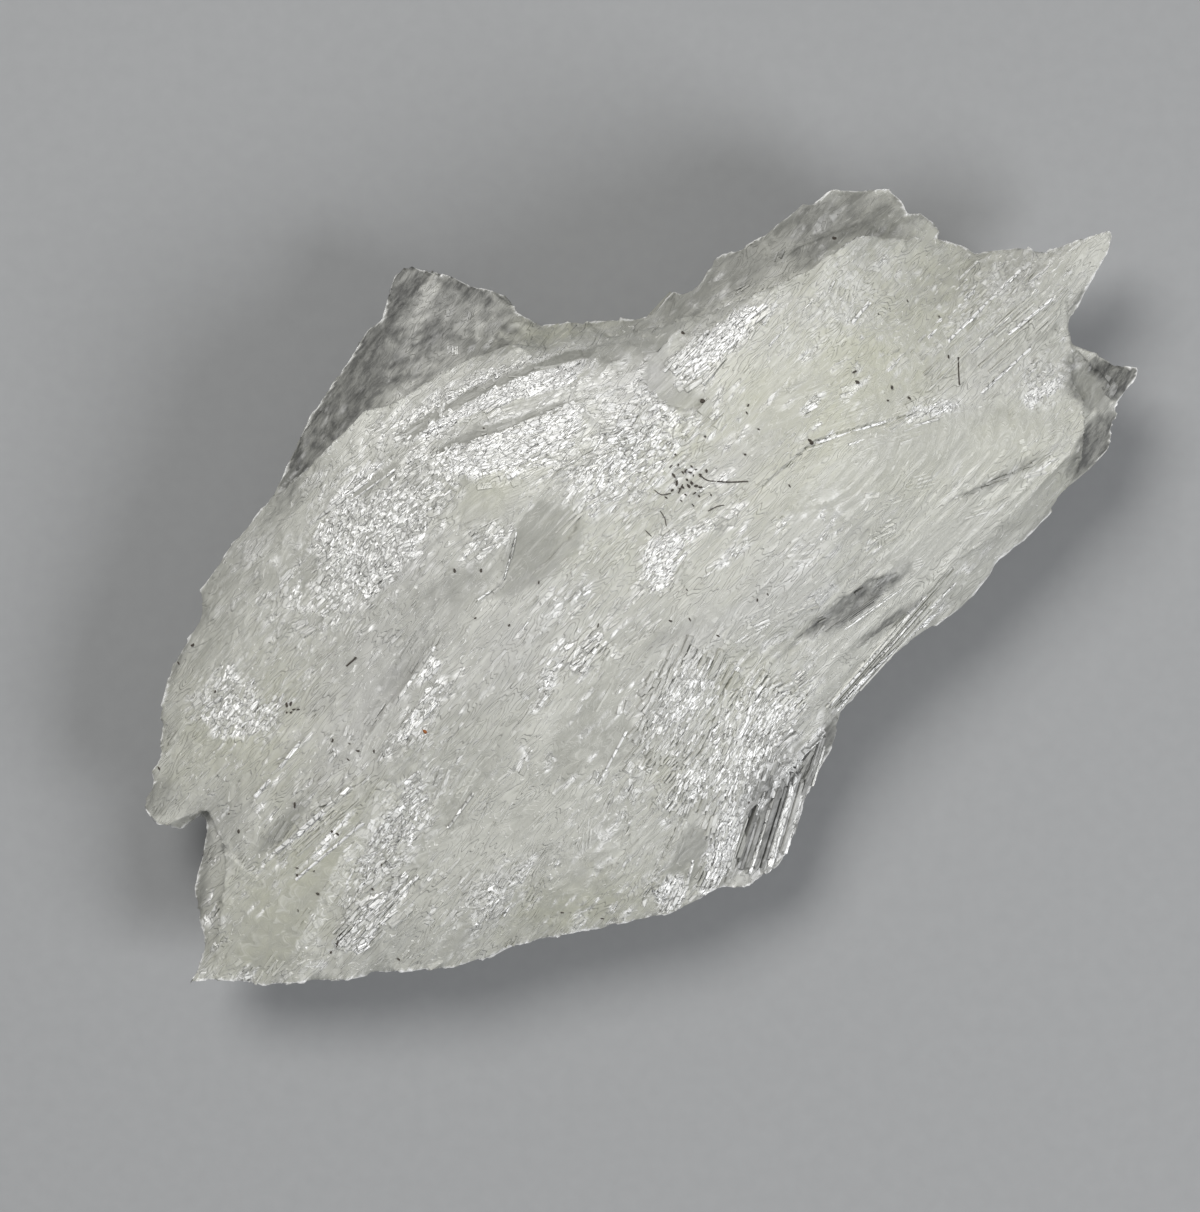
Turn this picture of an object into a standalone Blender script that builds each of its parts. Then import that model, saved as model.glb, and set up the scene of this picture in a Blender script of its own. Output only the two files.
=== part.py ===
"""A fragment of probertite: one compact mass of bladed crystals that grew together.

It lies on its back, its broad cleaved front face up. The mass is the outline seen from above, trimmed by a
front face and a back face that are each made of parallel blades, then chipped back where cleavage flakes have
gone, and joined with the crystals that stand out of it. It is one solid, because it grew as one piece.
Lengths are in millimetres until MM turns them into metres. +Z is up, and the origin is under the middle of
the outline, on the surface that the fragment lies on.
"""

import math
import random

import bmesh
import bpy
from mathutils import Matrix, Vector
from mathutils.geometry import intersect_point_line

MM = 0.001

# The grain: most blades run this way, anticlockwise from +X, seen from above.
GRAIN = math.radians(48)

# The outline seen from above, clockwise from the pointed foot at the lower left, in stretches.
LEFT_EDGE = [
    (-31.8, -27.7), (-30.9, -26.2), (-30.7, -24.3), (-31.2, -22.6), (-31.4, -21.2), (-30.7, -17.9), (-30.4, -16.5),
    (-30.7, -15.8), (-32.2, -16.9), (-33.9, -16.5), (-34.8, -15.3), (-34.7, -14.5), (-34.0, -13.6), (-34.3, -12.7),
    (-33.5, -11.7), (-33.7, -10.8), (-33.4, -9.8), (-33.7, -8.9), (-32.7, -5.2), (-31.3, -2.9), (-30.8, -1.9),
]
UPPER_LEFT_EDGE = [
    (-30.9, -0.1), (-28.7, 3.1), (-26.0, 6.2), (-25.0, 8.1), (-24.4, 9.7), (-22.9, 12.5), (-20.4, 16.1),
    (-19.2, 18.2),
]
PEAK = [
    (-18.1, 18.9), (-17.4, 21.8), (-16.8, 22.5), (-16.0, 22.6), (-13.0, 21.8), (-11.6, 21.1), (-9.5, 20.6),
    (-8.8, 19.9),
]
SADDLE = [(-8.7, 19.3), (-6.9, 18.4), (-3.1, 18.7), (-0.7, 18.7), (0.1, 19.0), (1.1, 19.5)]
TOP_LOBE = [
    (2.2, 20.8), (2.9, 20.6), (4.1, 21.3), (5.1, 23.1), (6.8, 23.6), (8.5, 24.6), (10.3, 26.1), (11.2, 27.0),
    (12.0, 26.8), (13.2, 27.8), (17.2, 27.7), (18.1, 26.8), (18.4, 25.9), (19.4, 26.2), (20.9, 25.1), (20.5, 24.4),
]
RIGHT_SPIKES = [
    (22.5, 23.9), (23.3, 23.5), (26.5, 23.9), (28.1, 23.6), (30.5, 24.4), (32.7, 25.1), (33.0, 24.6), (32.5, 23.2),
    (31.1, 20.9), (30.0, 18.6), (30.2, 17.2), (32.0, 16.5), (33.2, 15.8), (34.8, 15.5), (34.7, 14.7), (33.2, 12.8),
    (33.4, 12.2), (33.0, 11.5), (32.9, 10.0),
]
RIGHT_EDGE = [
    (31.6, 8.4), (29.3, 6.4), (28.5, 5.0), (26.5, 3.1), (24.9, 1.9), (24.4, 0.8), (23.0, -0.9), (21.4, -2.1),
    (18.9, -3.7), (16.5, -5.9), (14.2, -8.4),
]
CORNER = [(13.7, -10.8), (12.0, -13.8), (10.7, -17.6), (9.7, -19.5), (7.4, -21.0), (5.2, -21.0)]
FOOT_EDGE = [
    (4.1, -21.9), (2.0, -22.8), (-2.5, -23.7), (-5.7, -24.3), (-9.0, -25.0), (-10.7, -25.9), (-13.0, -26.5),
    (-18.4, -26.9), (-20.7, -27.4), (-26.3, -27.8), (-29.6, -27.4),
]
OUTLINE = LEFT_EDGE + UPPER_LEFT_EDGE + PEAK + SADDLE + TOP_LOBE + RIGHT_SPIKES + RIGHT_EDGE + CORNER + FOOT_EDGE

# Planes are (x, y, z, rise along +X, rise along +Y): a point on the plane, then its slopes.
FRONT_FACETS = [
    (0, 0, 18.5, -0.02, 0.10),      # the broad middle
    (-10, -15, 15.5, 0.14, 0.36),   # falls to the pointed foot
    (0, -12, 15.5, -0.05, 0.38),    # falls to the foot edge
    (-25, -12, 13.0, 0.37, 0.04),   # falls to the left edge
    (20, 12, 16.5, -0.45, -0.10),   # falls to the spikes
    (12, 2, 17.0, -0.49, 0.50),     # the bevel along the right edge
    (-3, 15, 19.5, 0.31, -0.46),    # behind the crest, on the left
    (-3, 15, 20.0, 0.16, -0.47),    # behind the crest, on the right
]
BACK_FACETS = [
    (-20, -18, 0, -0.05, -0.44),    # rises to the foot edge
    (-23, -10, 0, -0.48, 0.05),     # rises to the left edge
    (-20, 6, 0, -0.36, 0.26),       # rises to the upper left edge
    (-8, 12, 0, -0.05, 0.44),       # rises to the saddle
    (8, 15, 0, -0.16, 0.50),        # rises to the top lobe
    (19, 12, 0, 0.33, 0.04),        # rises to the spikes
    (9, -1, 0, 0.42, -0.26),        # rises to the right edge
]
FACET_BLEND = 0.9  # how far a rounded edge between two facets reaches

# The rim of the mass, by stretch: its height, and how steeply the front and the back leave it.
RIMS = [
    (LEFT_EDGE, 8.3, 1.1, 0.9),
    (UPPER_LEFT_EDGE, 7.6, 3.0, 0.8),
    (PEAK, 7.6, 3.0, 1.0),
    (SADDLE, 8.2, 4.0, 1.4),
    (TOP_LOBE, 8.9, 3.0, 1.0),
    (RIGHT_SPIKES, 8.6, 1.0, 0.8),
    (RIGHT_EDGE, 7.9, 1.5, 1.2),
    (CORNER, 7.2, 2.0, 1.0),
    (FOOT_EDGE, 7.5, 1.2, 1.0),
]
RIM_HALF = 1.0  # half the thickness of the rim

# Flakes that have cleaved off: an outline seen from above, and the floor that each has left.
FRONT_FLAKES = {
    "upper_left_flange": (
        [(-27.4, 4.9), (-22.6, 8.6), (-20.2, 10.8), (-19.0, 12.1), (-16.8, 12.7), (-14.1, 14.4), (-11.5, 15.8),
         (-8.5, 16.9), (-6.5, 18.0), (-7.5, 26.0), (-20.0, 26.0), (-34.0, 10.0)],
        (-15, 14, 10.4, 0.22, -0.17),
    ),
    "saddle_band": (
        [(-13.5, 14.6), (-9.0, 16.3), (-5.6, 17.1), (-2.9, 17.2), (0.6, 17.8), (2.6, 18.4), (4.0, 24.0),
         (-8.0, 24.0)],
        (-3, 17, 15.2, 0.05, -0.95),
    ),
    "top_lobe_face": (
        [(-0.5, 17.8), (4.1, 18.7), (7.6, 19.9), (11.1, 21.4), (13.1, 23.0), (14.8, 24.1), (17.9, 24.1),
         (21.2, 24.3), (22.0, 31.0), (-1.0, 31.0)],
        (10, 22, 12.0, 0.12, -0.27),
    ),
    "right_flange": (
        [(29.6, 17.6), (30.0, 14.3), (30.6, 12.8), (30.8, 10.5), (30.2, 8.3), (28.9, 6.0), (38.0, 4.0),
         (38.0, 18.0)],
        (30, 12, 9.4, -0.12, 0.05),
    ),
    "spike_notch": (
        [(30.6, 17.0), (32.3, 14.6), (33.4, 13.1), (38.0, 13.0), (38.0, 18.0)],
        (33, 15, 8.9, -0.05, 0.10),
    ),
    "corner": (
        [(14.6, -8.0), (13.0, -9.5), (11.1, -11.3), (9.4, -13.4), (7.3, -15.6), (6.6, -17.6), (5.4, -20.5),
         (5.2, -25.0), (20.0, -25.0), (20.0, -8.0)],
        (10, -13, 8.0, -0.18, 0.10),
    ),
    "dark_window": (
        [(9.6, -4.6), (11.4, -2.4), (13.0, -1.2), (15.2, 0.5), (17.4, 1.3), (19.3, 1.6), (20.6, 1.4), (18.6, 0.4),
         (16.6, -0.6), (14.3, -1.9), (12.2, -3.2)],
        (14.5, -1, 13.7, -0.42, 0.68),
    ),
    "smooth_patch": (
        [(-11.6, -1.4), (-9.9, 0.4), (-9.4, 2.2), (-8.6, 3.6), (-8.2, 5.6), (-5.0, 6.6), (-3.4, 3.4), (-5.4, 0.4),
         (-8.0, -2.0)],
        (-9, 2, 18.35, 0.16, 0.06),
    ),
    "crest_channel": (
        [(-17.4, 7.4), (-14.9, 10.0), (-9.9, 12.6), (-5.7, 14.0), (-2.4, 14.6), (-3.6, 12.7), (-7.4, 11.3),
         (-9.8, 10.4), (-12.6, 9.6), (-15.0, 8.4)],
        (-8.6, 10.9, 18.65, 0.0, 0.36),
    ),
    "foot_strip": (
        [(-30.2, -15.4), (-28.9, -18.6), (-29.3, -22.4), (-29.9, -26.0), (-33.0, -28.5), (-34.0, -16.8)],
        (-30.5, -20, 8.0, 0.20, 0.05),
    ),
}
BACK_FLAKES = {
    "back_hollow": (
        [(-11.5, -13.0), (-9.6, -12.4), (-7.2, -9.0), (-2.0, -4.4), (0.6, 0.6), (4.4, 4.2), (2.2, 4.6),
         (-3.4, -0.8), (-7.6, -3.2), (-10.4, -8.4)],
        (-3, -5, 0.5, -0.06, 0.07),
    ),
    "back_step": (
        [(0.5, 7.6), (3.4, 6.8), (8.0, 10.6), (12.6, 14.2), (17.2, 21.4), (19.5, 28.0), (12.0, 28.0),
         (8.4, 20.2), (3.2, 14.6)],
        (7, 12, 1.1, -0.10, 0.16),
    ),
    "back_ledge": (
        [(-31.0, -8.4), (-27.4, -7.6), (-22.8, -1.4), (-18.6, 2.0), (-14.2, 9.0), (-16.6, 11.2), (-24.0, 3.0),
         (-33.0, 2.0)],
        (-21, 1, 1.8, -0.26, 0.20),
    ),
    "back_groove": (
        [(6.2, -12.0), (9.0, -9.4), (13.8, -5.8), (17.4, -1.0), (21.0, 1.4), (20.2, 2.2), (14.4, -1.2),
         (9.4, -6.4)],
        (13, -4, 3.2, 0.14, -0.10),
    ),
}
FLAKE_REACH = 30  # how far a cutter goes past the floor of its flake

# Blades of the two faces: parallel strips, each at a level of its own.
FRONT_BLADES = {"widths": (0.9, 2.4), "length": 2.6, "step": 0.45, "seed": 4}
BACK_BLADES = {"widths": (1.4, 3.4), "length": 3.6, "step": 0.6, "seed": 9}
STRIP_EDGE = 0.1   # half the width of the slope between two strips
BLADE_RUN = 4      # how many of the grid's lengths a blade runs for at one level
FACE_REACH = 46    # half the side of the grid that each face is cut from
DEEP = 60          # where the grids are closed off, well outside the mass
MERGE = 0.001      # how close two corners of a cutter may be before they are one

CRYSTAL_SIDES = 6
TIP_SHARE = 0.3    # how much of its girth a crystal keeps at its tip

# Sheaves of crystals along the front: where one starts and ends, how far it spreads, and how many it has.
SHEAVES = [
    ((-25.6, -18.3), (-16.0, -8.3), 2.2, 3),    # the long laths above the foot
    ((-21.6, -24.8), (-13.0, -14.8), 1.8, 3),   # the bright laths at the foot
    ((-24.6, -25.4), (-18.4, -15.4), 1.6, 2),
    ((-27.6, -9.8), (-22.6, -3.6), 3.0, 4),     # the splinters of the left edge
    ((-15.8, 9.6), (-7.0, 14.6), 1.2, 3),       # along the crest
    ((-7.4, 14.2), (0.5, 16.4), 1.2, 2),
    ((-20.0, 3.0), (-14.0, 8.6), 2.4, 3),
    ((-8.5, -3.5), (-2.0, 5.0), 3.0, 3),        # the middle
    ((-6.0, -19.5), (-1.5, -9.5), 3.4, 4),      # the steep sheaf above the foot edge
    ((2.5, -19.0), (6.5, -9.0), 3.2, 4),
    ((6.0, -14.0), (9.0, -5.0), 1.8, 2),
    ((10.5, -9.0), (18.5, -3.0), 1.6, 3),       # along the right edge
    ((3.6, 3.5), (12.0, 8.6), 2.4, 3),          # the ledge right of the middle
    ((8.5, 8.0), (20.0, 12.6), 1.2, 2),
    ((2.0, 13.5), (9.0, 20.0), 2.0, 3),         # the bright patch under the top lobe
    ((13.5, 17.0), (19.0, 22.5), 2.6, 3),
    ((20.8, 16.8), (26.8, 22.4), 2.6, 4),       # the laths that run out into the spikes
    ((24.0, 6.0), (29.5, 11.0), 2.2, 3),
    ((-22.0, 10.6), (-17.2, 18.4), 2.0, 3),     # on the upper left flange
    ((-15.2, 15.0), (-14.6, 20.6), 2.6, 3),
    ((-12.4, 16.8), (-10.8, 19.6), 1.4, 2),
    ((5.4, 20.6), (9.8, 24.0), 1.4, 2),         # on the top lobe
    ((11.4, 23.2), (15.2, 26.4), 2.6, 3),
    ((6.8, -19.6), (9.4, -12.6), 1.6, 3),       # the columns of the corner
    ((8.6, -18.6), (11.4, -11.4), 1.4, 3),
    ((10.6, -15.8), (12.8, -10.2), 1.0, 2),
    ((29.8, 9.4), (32.0, 14.0), 1.8, 2),
]
SHEAF_WIDTHS = (1.4, 2.8)
SHEAF_THICKNESSES = (1.0, 1.6)
SHEAF_FAN = (0.7, 1.3)    # the share of the spread that each end of a crystal gets
SHEAF_SLIP = (-1.5, 1.0)  # how far each end slips along the sheaf
SHEAF_ROLL = 0.3          # the most that a crystal turns about itself, in radians
FOOT_SINK = 1.2           # how deep the foot of a crystal lies
TIP_SINKS = (0.1, 0.4)    # how deep its tip lies
SHEAF_FALL = 1.5          # how far it may fall from its foot to its tip
SHEAF_SEED = 12

# Crystals that stand out at the rim: the stretch, how many, the way they point, and their length.
SPRAYS = [
    (LEFT_EDGE, 15, math.radians(200), 6.5),
    (FOOT_EDGE, 16, math.radians(245), 6.5),
    (CORNER, 6, math.radians(252), 8.0),
    (RIGHT_EDGE, 10, math.radians(226), 8.5),
    (RIGHT_SPIKES, 9, math.radians(46), 6.5),
    (TOP_LOBE, 9, math.radians(64), 6.5),
    (SADDLE, 5, math.radians(70), 5.0),
    (PEAK, 5, math.radians(58), 5.5),
    (UPPER_LEFT_EDGE, 7, math.radians(52), 7.5),
]
SPRAY_WIDTHS = (1.1, 2.2)
SPRAY_FLATNESS = 0.6
SPRAY_LENGTHS = (0.8, 1.2)   # the share of the stretch's length that a crystal gets
SPRAY_DROPS = (-2.6, 1.3)    # how far above the rim's own height a tip may be
SPRAY_INSET = 1.1            # how far inside the outline a tip at that height stays
SPRAY_ROOM = 0.8             # the share of its inset that each end keeps clear of the outline
SPRAY_TILT = 1.3             # how far above the rim's height a foot is, as a share of its tip's
SPRAY_TURN = 0.15            # the most that a crystal turns from the stretch's heading, in radians
SPRAY_ROLL = 0.8             # the most that it turns about itself, in radians
SPRAY_SEED = 21

CRYSTAL_COLOUR = (0.80, 0.80, 0.75)
CRYSTAL_ROUGHNESS = 0.32


def plane_height(plane, x, y):
    px, py, z, rise_x, rise_y = plane
    return z + rise_x * (x - px) + rise_y * (y - py)


def smooth_least(values, blend):
    """The least of some numbers, rounded off where two of them are within the blend of each other."""
    least = values[0]
    for value in values[1:]:
        near = max(blend - abs(least - value), 0) / blend
        least = min(least, value) - near * near * blend / 4
    return least


def is_inside(outline, x, y):
    """Whether a point is inside an outline, seen from above."""
    crossings = 0
    for (x1, y1), (x2, y2) in zip(outline, outline[1:] + outline[:1]):
        if (y1 > y) != (y2 > y) and x < x1 + (y - y1) / (y2 - y1) * (x2 - x1):
            crossings += 1
    return crossings % 2 == 1


def distance_to(stretch, x, y):
    point = Vector((x, y))
    nearest = []
    for start, end in zip(stretch, stretch[1:]):
        foot, share = intersect_point_line(point, Vector(start), Vector(end))
        foot = Vector(start).lerp(Vector(end), min(max(share, 0), 1))
        nearest.append((point - foot).length)
    return min(nearest)


def has_room(point, room):
    """Whether a point lies at least this far inside the outline."""
    return is_inside(OUTLINE, *point) and distance_to(OUTLINE + OUTLINE[:1], *point) >= room


def rim_bounds(x, y):
    """How high the front and how low the back may be at a point, for the rim to come out thin."""
    inside = is_inside(OUTLINE, x, y)
    tops, bottoms = [], []
    for stretch, height, front_slope, back_slope in RIMS:
        inset = distance_to(stretch, x, y) if inside else 0
        tops.append(height + RIM_HALF + front_slope * inset)
        bottoms.append(height - RIM_HALF - back_slope * inset)
    if inside:
        return min(tops), max(bottoms)
    nearest = min(RIMS, key=lambda rim: distance_to(rim[0], x, y))
    return nearest[1] + RIM_HALF, nearest[1] - RIM_HALF


def front_height(x, y, level):
    form = smooth_least([plane_height(plane, x, y) for plane in FRONT_FACETS], FACET_BLEND)
    return min(form, rim_bounds(x, y)[0]) - level


def back_height(x, y, level):
    """The underside never goes below zero, so its middle is one flat that the fragment can lie on."""
    form = -smooth_least([-plane_height(plane, x, y) for plane in BACK_FACETS], FACET_BLEND)
    return max(form - level, rim_bounds(x, y)[1] - level, 0)


def surface_height(x, y, sink):
    """How high a point below the front lies, with the flakes that have come off."""
    heights = [front_height(x, y, 0)]
    for outline, floor in FRONT_FLAKES.values():
        if is_inside(outline, x, y):
            heights.append(plane_height(floor, x, y))
    return min(heights) - sink


def clear_scene():
    for obj in list(bpy.data.objects):
        bpy.data.objects.remove(obj)


def new_collection(name):
    made = bpy.data.collections.new(name)
    bpy.context.scene.collection.children.link(made)
    return made


def as_cutter(obj):
    obj.hide_render = True
    obj.display_type = "WIRE"
    return obj


def object_from(bm, name, into):
    mesh = bpy.data.meshes.new(name)
    bm.to_mesh(mesh)
    bm.free()
    obj = bpy.data.objects.new(name, mesh)
    into.objects.link(obj)
    return obj


def prism(name, outline, into, low=-DEEP, high=DEEP):
    """A flat outline extruded between two heights, as a mesh."""
    curve = bpy.data.curves.new(name, "CURVE")
    curve.dimensions = "2D"
    curve.fill_mode = "BOTH"
    curve.extrude = (high - low) / 2 * MM
    spline = curve.splines.new("POLY")
    spline.points.add(len(outline) - 1)
    for point, (x, y) in zip(spline.points, outline):
        point.co = (x * MM, y * MM, 0, 1)
    spline.use_cyclic_u = True
    drawn = bpy.data.objects.new(name + "_outline", curve)
    into.objects.link(drawn)
    drawn.location.z = (high + low) / 2 * MM
    graph = bpy.context.evaluated_depsgraph_get()
    graph.update()
    mesh = bpy.data.meshes.new_from_object(drawn.evaluated_get(graph))
    bm = bmesh.new()
    bm.from_mesh(mesh)
    bmesh.ops.transform(bm, matrix=drawn.matrix_world, verts=bm.verts)
    bmesh.ops.remove_doubles(bm, verts=bm.verts, dist=MERGE * MM)
    bpy.data.objects.remove(drawn)
    bpy.data.meshes.remove(mesh)
    return object_from(bm, name, into)


def flake_cutter(name, outline, floor, into, upward):
    """The prism that takes a flake off: its floor lies on a plane, and the rest runs clear of the mass."""
    cutter = prism(name, outline, into)
    for vertex in cutter.data.vertices:
        x, y = vertex.co.x / MM, vertex.co.y / MM
        is_floor = (vertex.co.z < 0) == upward
        reach = 0 if is_floor else (FLAKE_REACH if upward else -FLAKE_REACH)
        vertex.co.z = (plane_height(floor, x, y) + reach) * MM
    return as_cutter(cutter)


def blade_level(blades, strip, piece):
    """How far one blade stands short of the face, the same each time for the same blade."""
    chance = random.Random(f"{blades['seed']} {strip} {piece // BLADE_RUN}")
    return chance.uniform(0, blades["step"])


def strip_lines(blades):
    """Distances across the grain of the grid's lines: two for each edge between strips."""
    chance = random.Random(blades["seed"])
    lines = []
    edge = -FACE_REACH
    while edge < FACE_REACH:
        lines += [edge - STRIP_EDGE, edge + STRIP_EDGE]
        edge += chance.uniform(*blades["widths"])
    return lines


def bladed_face(name, height, blades, far, into):
    """A solid bounded on one side by a face of parallel blades, and closed off at the far height."""
    across = strip_lines(blades)
    along_count = int(2 * FACE_REACH / blades["length"])
    bm = bmesh.new()
    bmesh.ops.create_grid(bm, x_segments=along_count, y_segments=len(across) - 1, size=1)
    cos, sin = math.cos(GRAIN), math.sin(GRAIN)
    for vertex in bm.verts:
        piece = round((vertex.co.x + 1) / 2 * along_count)
        line = round((vertex.co.y + 1) / 2 * (len(across) - 1))
        along = (piece / along_count * 2 - 1) * FACE_REACH
        x = along * cos - across[line] * sin
        y = along * sin + across[line] * cos
        strip = (line + 1) // 2
        vertex.co = Vector((x, y, height(x, y, blade_level(blades, strip, piece + strip)))) * MM
    rim = bmesh.ops.extrude_face_region(bm, geom=bm.faces[:])
    for vertex in (item for item in rim["geom"] if isinstance(item, bmesh.types.BMVert)):
        vertex.co.z = far * MM
    bmesh.ops.recalc_face_normals(bm, faces=bm.faces)
    return as_cutter(object_from(bm, name, into))


def crystal(name, foot, tip, width, thickness, roll, into):
    """A flattened six-sided crystal that narrows from its foot to its tip."""
    foot, tip = Vector(foot), Vector(tip)
    bm = bmesh.new()
    bmesh.ops.create_cone(
        bm, cap_ends=True, segments=CRYSTAL_SIDES, radius1=1 / 2, radius2=TIP_SHARE / 2, depth=(tip - foot).length
    )
    bmesh.ops.scale(bm, vec=(width, thickness, 1), verts=bm.verts)
    turn = (tip - foot).to_track_quat("Z", "X").to_matrix().to_4x4()
    place = Matrix.Translation((foot + tip) / 2) @ turn @ Matrix.Rotation(roll, 4, "Z")
    bmesh.ops.transform(bm, matrix=Matrix.Scale(MM, 4) @ place, verts=bm.verts)
    return as_cutter(object_from(bm, name, into))


def sheaf(index, start, end, spread, count, into):
    """Crystals side by side along the front face, each half sunk in it."""
    chance = random.Random(SHEAF_SEED + index)
    start, end = Vector(start), Vector(end)
    ahead = (end - start).normalized()
    aside = Vector((-ahead.y, ahead.x)) * spread
    for k in range(count):
        place = k / max(count - 1, 1) - 1 / 2
        foot = start + aside * place * chance.uniform(*SHEAF_FAN) - ahead * chance.uniform(*SHEAF_SLIP)
        tip = end + aside * place * chance.uniform(*SHEAF_FAN) + ahead * chance.uniform(*SHEAF_SLIP)
        width = chance.uniform(*SHEAF_WIDTHS)
        if not has_room(foot, width / 2) or not has_room(tip, width / 2):
            continue
        tip_level = surface_height(*tip, chance.uniform(*TIP_SINKS))
        foot_level = min(surface_height(*foot, FOOT_SINK), tip_level + SHEAF_FALL)
        ends = (*foot, foot_level), (*tip, tip_level)
        thickness = chance.uniform(*SHEAF_THICKNESSES)
        crystal(f"sheaf_{index}_{k}", *ends, width, thickness, chance.uniform(-SHEAF_ROLL, SHEAF_ROLL), into)


def spray(index, stretch, count, heading, length, into):
    """Crystals that run out to one stretch of the rim, at different depths, where there is room for them."""
    chance = random.Random(SPRAY_SEED + index)
    rim_height = RIMS[[rim[0] for rim in RIMS].index(stretch)][1]
    for k in range(count):
        place = (k + chance.random()) / count * (len(stretch) - 1)
        before, after = Vector(stretch[int(place)]), Vector(stretch[int(place) + 1])
        inward = Vector((after.y - before.y, before.x - after.x)).normalized()
        turned = heading + chance.uniform(-SPRAY_TURN, SPRAY_TURN)
        ahead = Vector((math.cos(turned), math.sin(turned)))
        drop = chance.uniform(*SPRAY_DROPS)
        inset = SPRAY_INSET + abs(drop)
        tip = before.lerp(after, place % 1) + inward * inset
        foot = tip - ahead * length * chance.uniform(*SPRAY_LENGTHS) + inward
        width = chance.uniform(*SPRAY_WIDTHS)
        roll = chance.uniform(-SPRAY_ROLL, SPRAY_ROLL)
        room = inset * SPRAY_ROOM
        if not has_room(tip, room) or not has_room(foot, room):
            continue
        ends = (*foot, rim_height + drop * SPRAY_TILT), (*tip, rim_height + drop)
        crystal(f"spray_{index}_{k}", *ends, width, width * SPRAY_FLATNESS, roll, into)


def paint(obj):
    """The one material: silvery white, a little cream, with a satin gloss."""
    material = bpy.data.materials.new("probertite")
    material.use_nodes = True
    shader = material.node_tree.nodes["Principled BSDF"]
    shader.inputs["Base Color"].default_value = (*CRYSTAL_COLOUR, 1)
    shader.inputs["Roughness"].default_value = CRYSTAL_ROUGHNESS
    shader.inputs["Metallic"].default_value = 0
    obj.data.materials.append(material)


def boolean(obj, operation, other):
    modifier = obj.modifiers.new(operation.lower(), "BOOLEAN")
    modifier.operation = operation
    modifier.solver = "EXACT"
    if isinstance(other, bpy.types.Collection):
        modifier.operand_type = "COLLECTION"
        modifier.collection = other
    else:
        modifier.object = other


def main():
    clear_scene()
    specimen_group = new_collection("probertite_specimen")
    cutters = new_collection("cutters")
    flakes = new_collection("flakes")
    crystals = new_collection("crystals")
    mass = prism("probertite", OUTLINE, specimen_group)
    paint(mass)
    front = bladed_face("front_face", front_height, FRONT_BLADES, -DEEP - 5, cutters)
    back = bladed_face("back_face", back_height, BACK_BLADES, DEEP + 5, cutters)
    boolean(mass, "INTERSECT", front)
    boolean(mass, "INTERSECT", back)
    for name, (outline, floor) in FRONT_FLAKES.items():
        boolean(mass, "DIFFERENCE", flake_cutter(name, outline, floor, flakes, upward=True))
    for name, (outline, floor) in BACK_FLAKES.items():
        boolean(mass, "DIFFERENCE", flake_cutter(name, outline, floor, flakes, upward=False))
    for index, (start, end, spread, count) in enumerate(SHEAVES):
        sheaf(index, start, end, spread, count, crystals)
    for index, (stretch, count, heading, length) in enumerate(SPRAYS):
        spray(index, stretch, count, heading, length, crystals)
    boolean(mass, "UNION", crystals)


main()
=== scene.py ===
"""The probertite specimen as it looks: fibrous, silvery white and partly clear, on a plain pale floor."""

import itertools
import math

import bmesh
import bpy
import numpy as np
from mathutils import Matrix, Vector
from mathutils.bvhtree import BVHTree


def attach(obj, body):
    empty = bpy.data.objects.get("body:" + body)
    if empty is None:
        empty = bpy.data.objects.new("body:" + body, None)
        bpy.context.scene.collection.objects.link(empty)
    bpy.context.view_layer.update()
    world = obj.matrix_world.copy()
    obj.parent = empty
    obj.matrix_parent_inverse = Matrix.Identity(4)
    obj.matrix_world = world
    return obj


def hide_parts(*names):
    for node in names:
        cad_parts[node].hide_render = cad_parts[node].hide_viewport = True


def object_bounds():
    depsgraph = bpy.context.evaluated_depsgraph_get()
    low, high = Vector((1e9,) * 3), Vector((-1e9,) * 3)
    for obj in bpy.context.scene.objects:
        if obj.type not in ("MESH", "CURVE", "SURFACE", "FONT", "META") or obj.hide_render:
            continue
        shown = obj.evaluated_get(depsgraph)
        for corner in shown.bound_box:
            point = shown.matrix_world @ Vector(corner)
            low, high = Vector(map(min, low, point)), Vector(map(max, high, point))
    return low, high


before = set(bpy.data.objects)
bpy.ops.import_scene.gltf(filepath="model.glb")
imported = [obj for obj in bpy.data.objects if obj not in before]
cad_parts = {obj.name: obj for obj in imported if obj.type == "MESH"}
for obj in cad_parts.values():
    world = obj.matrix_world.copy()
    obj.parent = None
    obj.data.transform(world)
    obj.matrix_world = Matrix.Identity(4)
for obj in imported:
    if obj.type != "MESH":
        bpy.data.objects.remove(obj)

cad_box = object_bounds()

MM = 0.001
LOWEST, HIGHEST = np.array(cad_box[0]) / MM, np.array(cad_box[1]) / MM
INSIDE = 0.02               # mm, how far inside the CAD box every point of the crystal stays
GRAIN = 48.0                # degrees from +X, the way most blades run
VEIN_HEADING = 55.0         # degrees from +X, the way the veins of the clear parts run
CELL = 0.43                 # mm, a cell of the rebuilt mesh along the grain
STRETCH = 2.5               # how many times narrower a cell is across the grain
FINE_GLINT = 0.65           # how much a place glints where the cells are halved
FINE_REACH = 0.35           # mm, how far from a ledge the cells are halved
FACES_KEPT = 0.75           # the share of the mass's faces that is left when those of the back are joined
EVENINGS = 235              # how many times a broad face's height is evened out
EVENING = 0.7               # how far each evening moves a point towards the middle of its neighbours
STEP_KEPT = 0.5             # mm, how high a step is that the evening leaves alone
INSET = 0.1                 # mm, how far the mass lies under its solid's faces, to leave room for relief
REST_LOW, REST_FADE = 0.05, 0.5         # mm, where above the floor the relief starts, and over what height
JAG_HEIGHT, JAG_SIZE = 0.16, 1.3        # mm, how deep and how large the breaks in steep sides are
# The rim gets a painted highlight.
RIM = 0.16                  # mm, how near the outline a point counts as on the rim
SEAM = 2.5                  # mm, how far two sheaves run into each other
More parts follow.
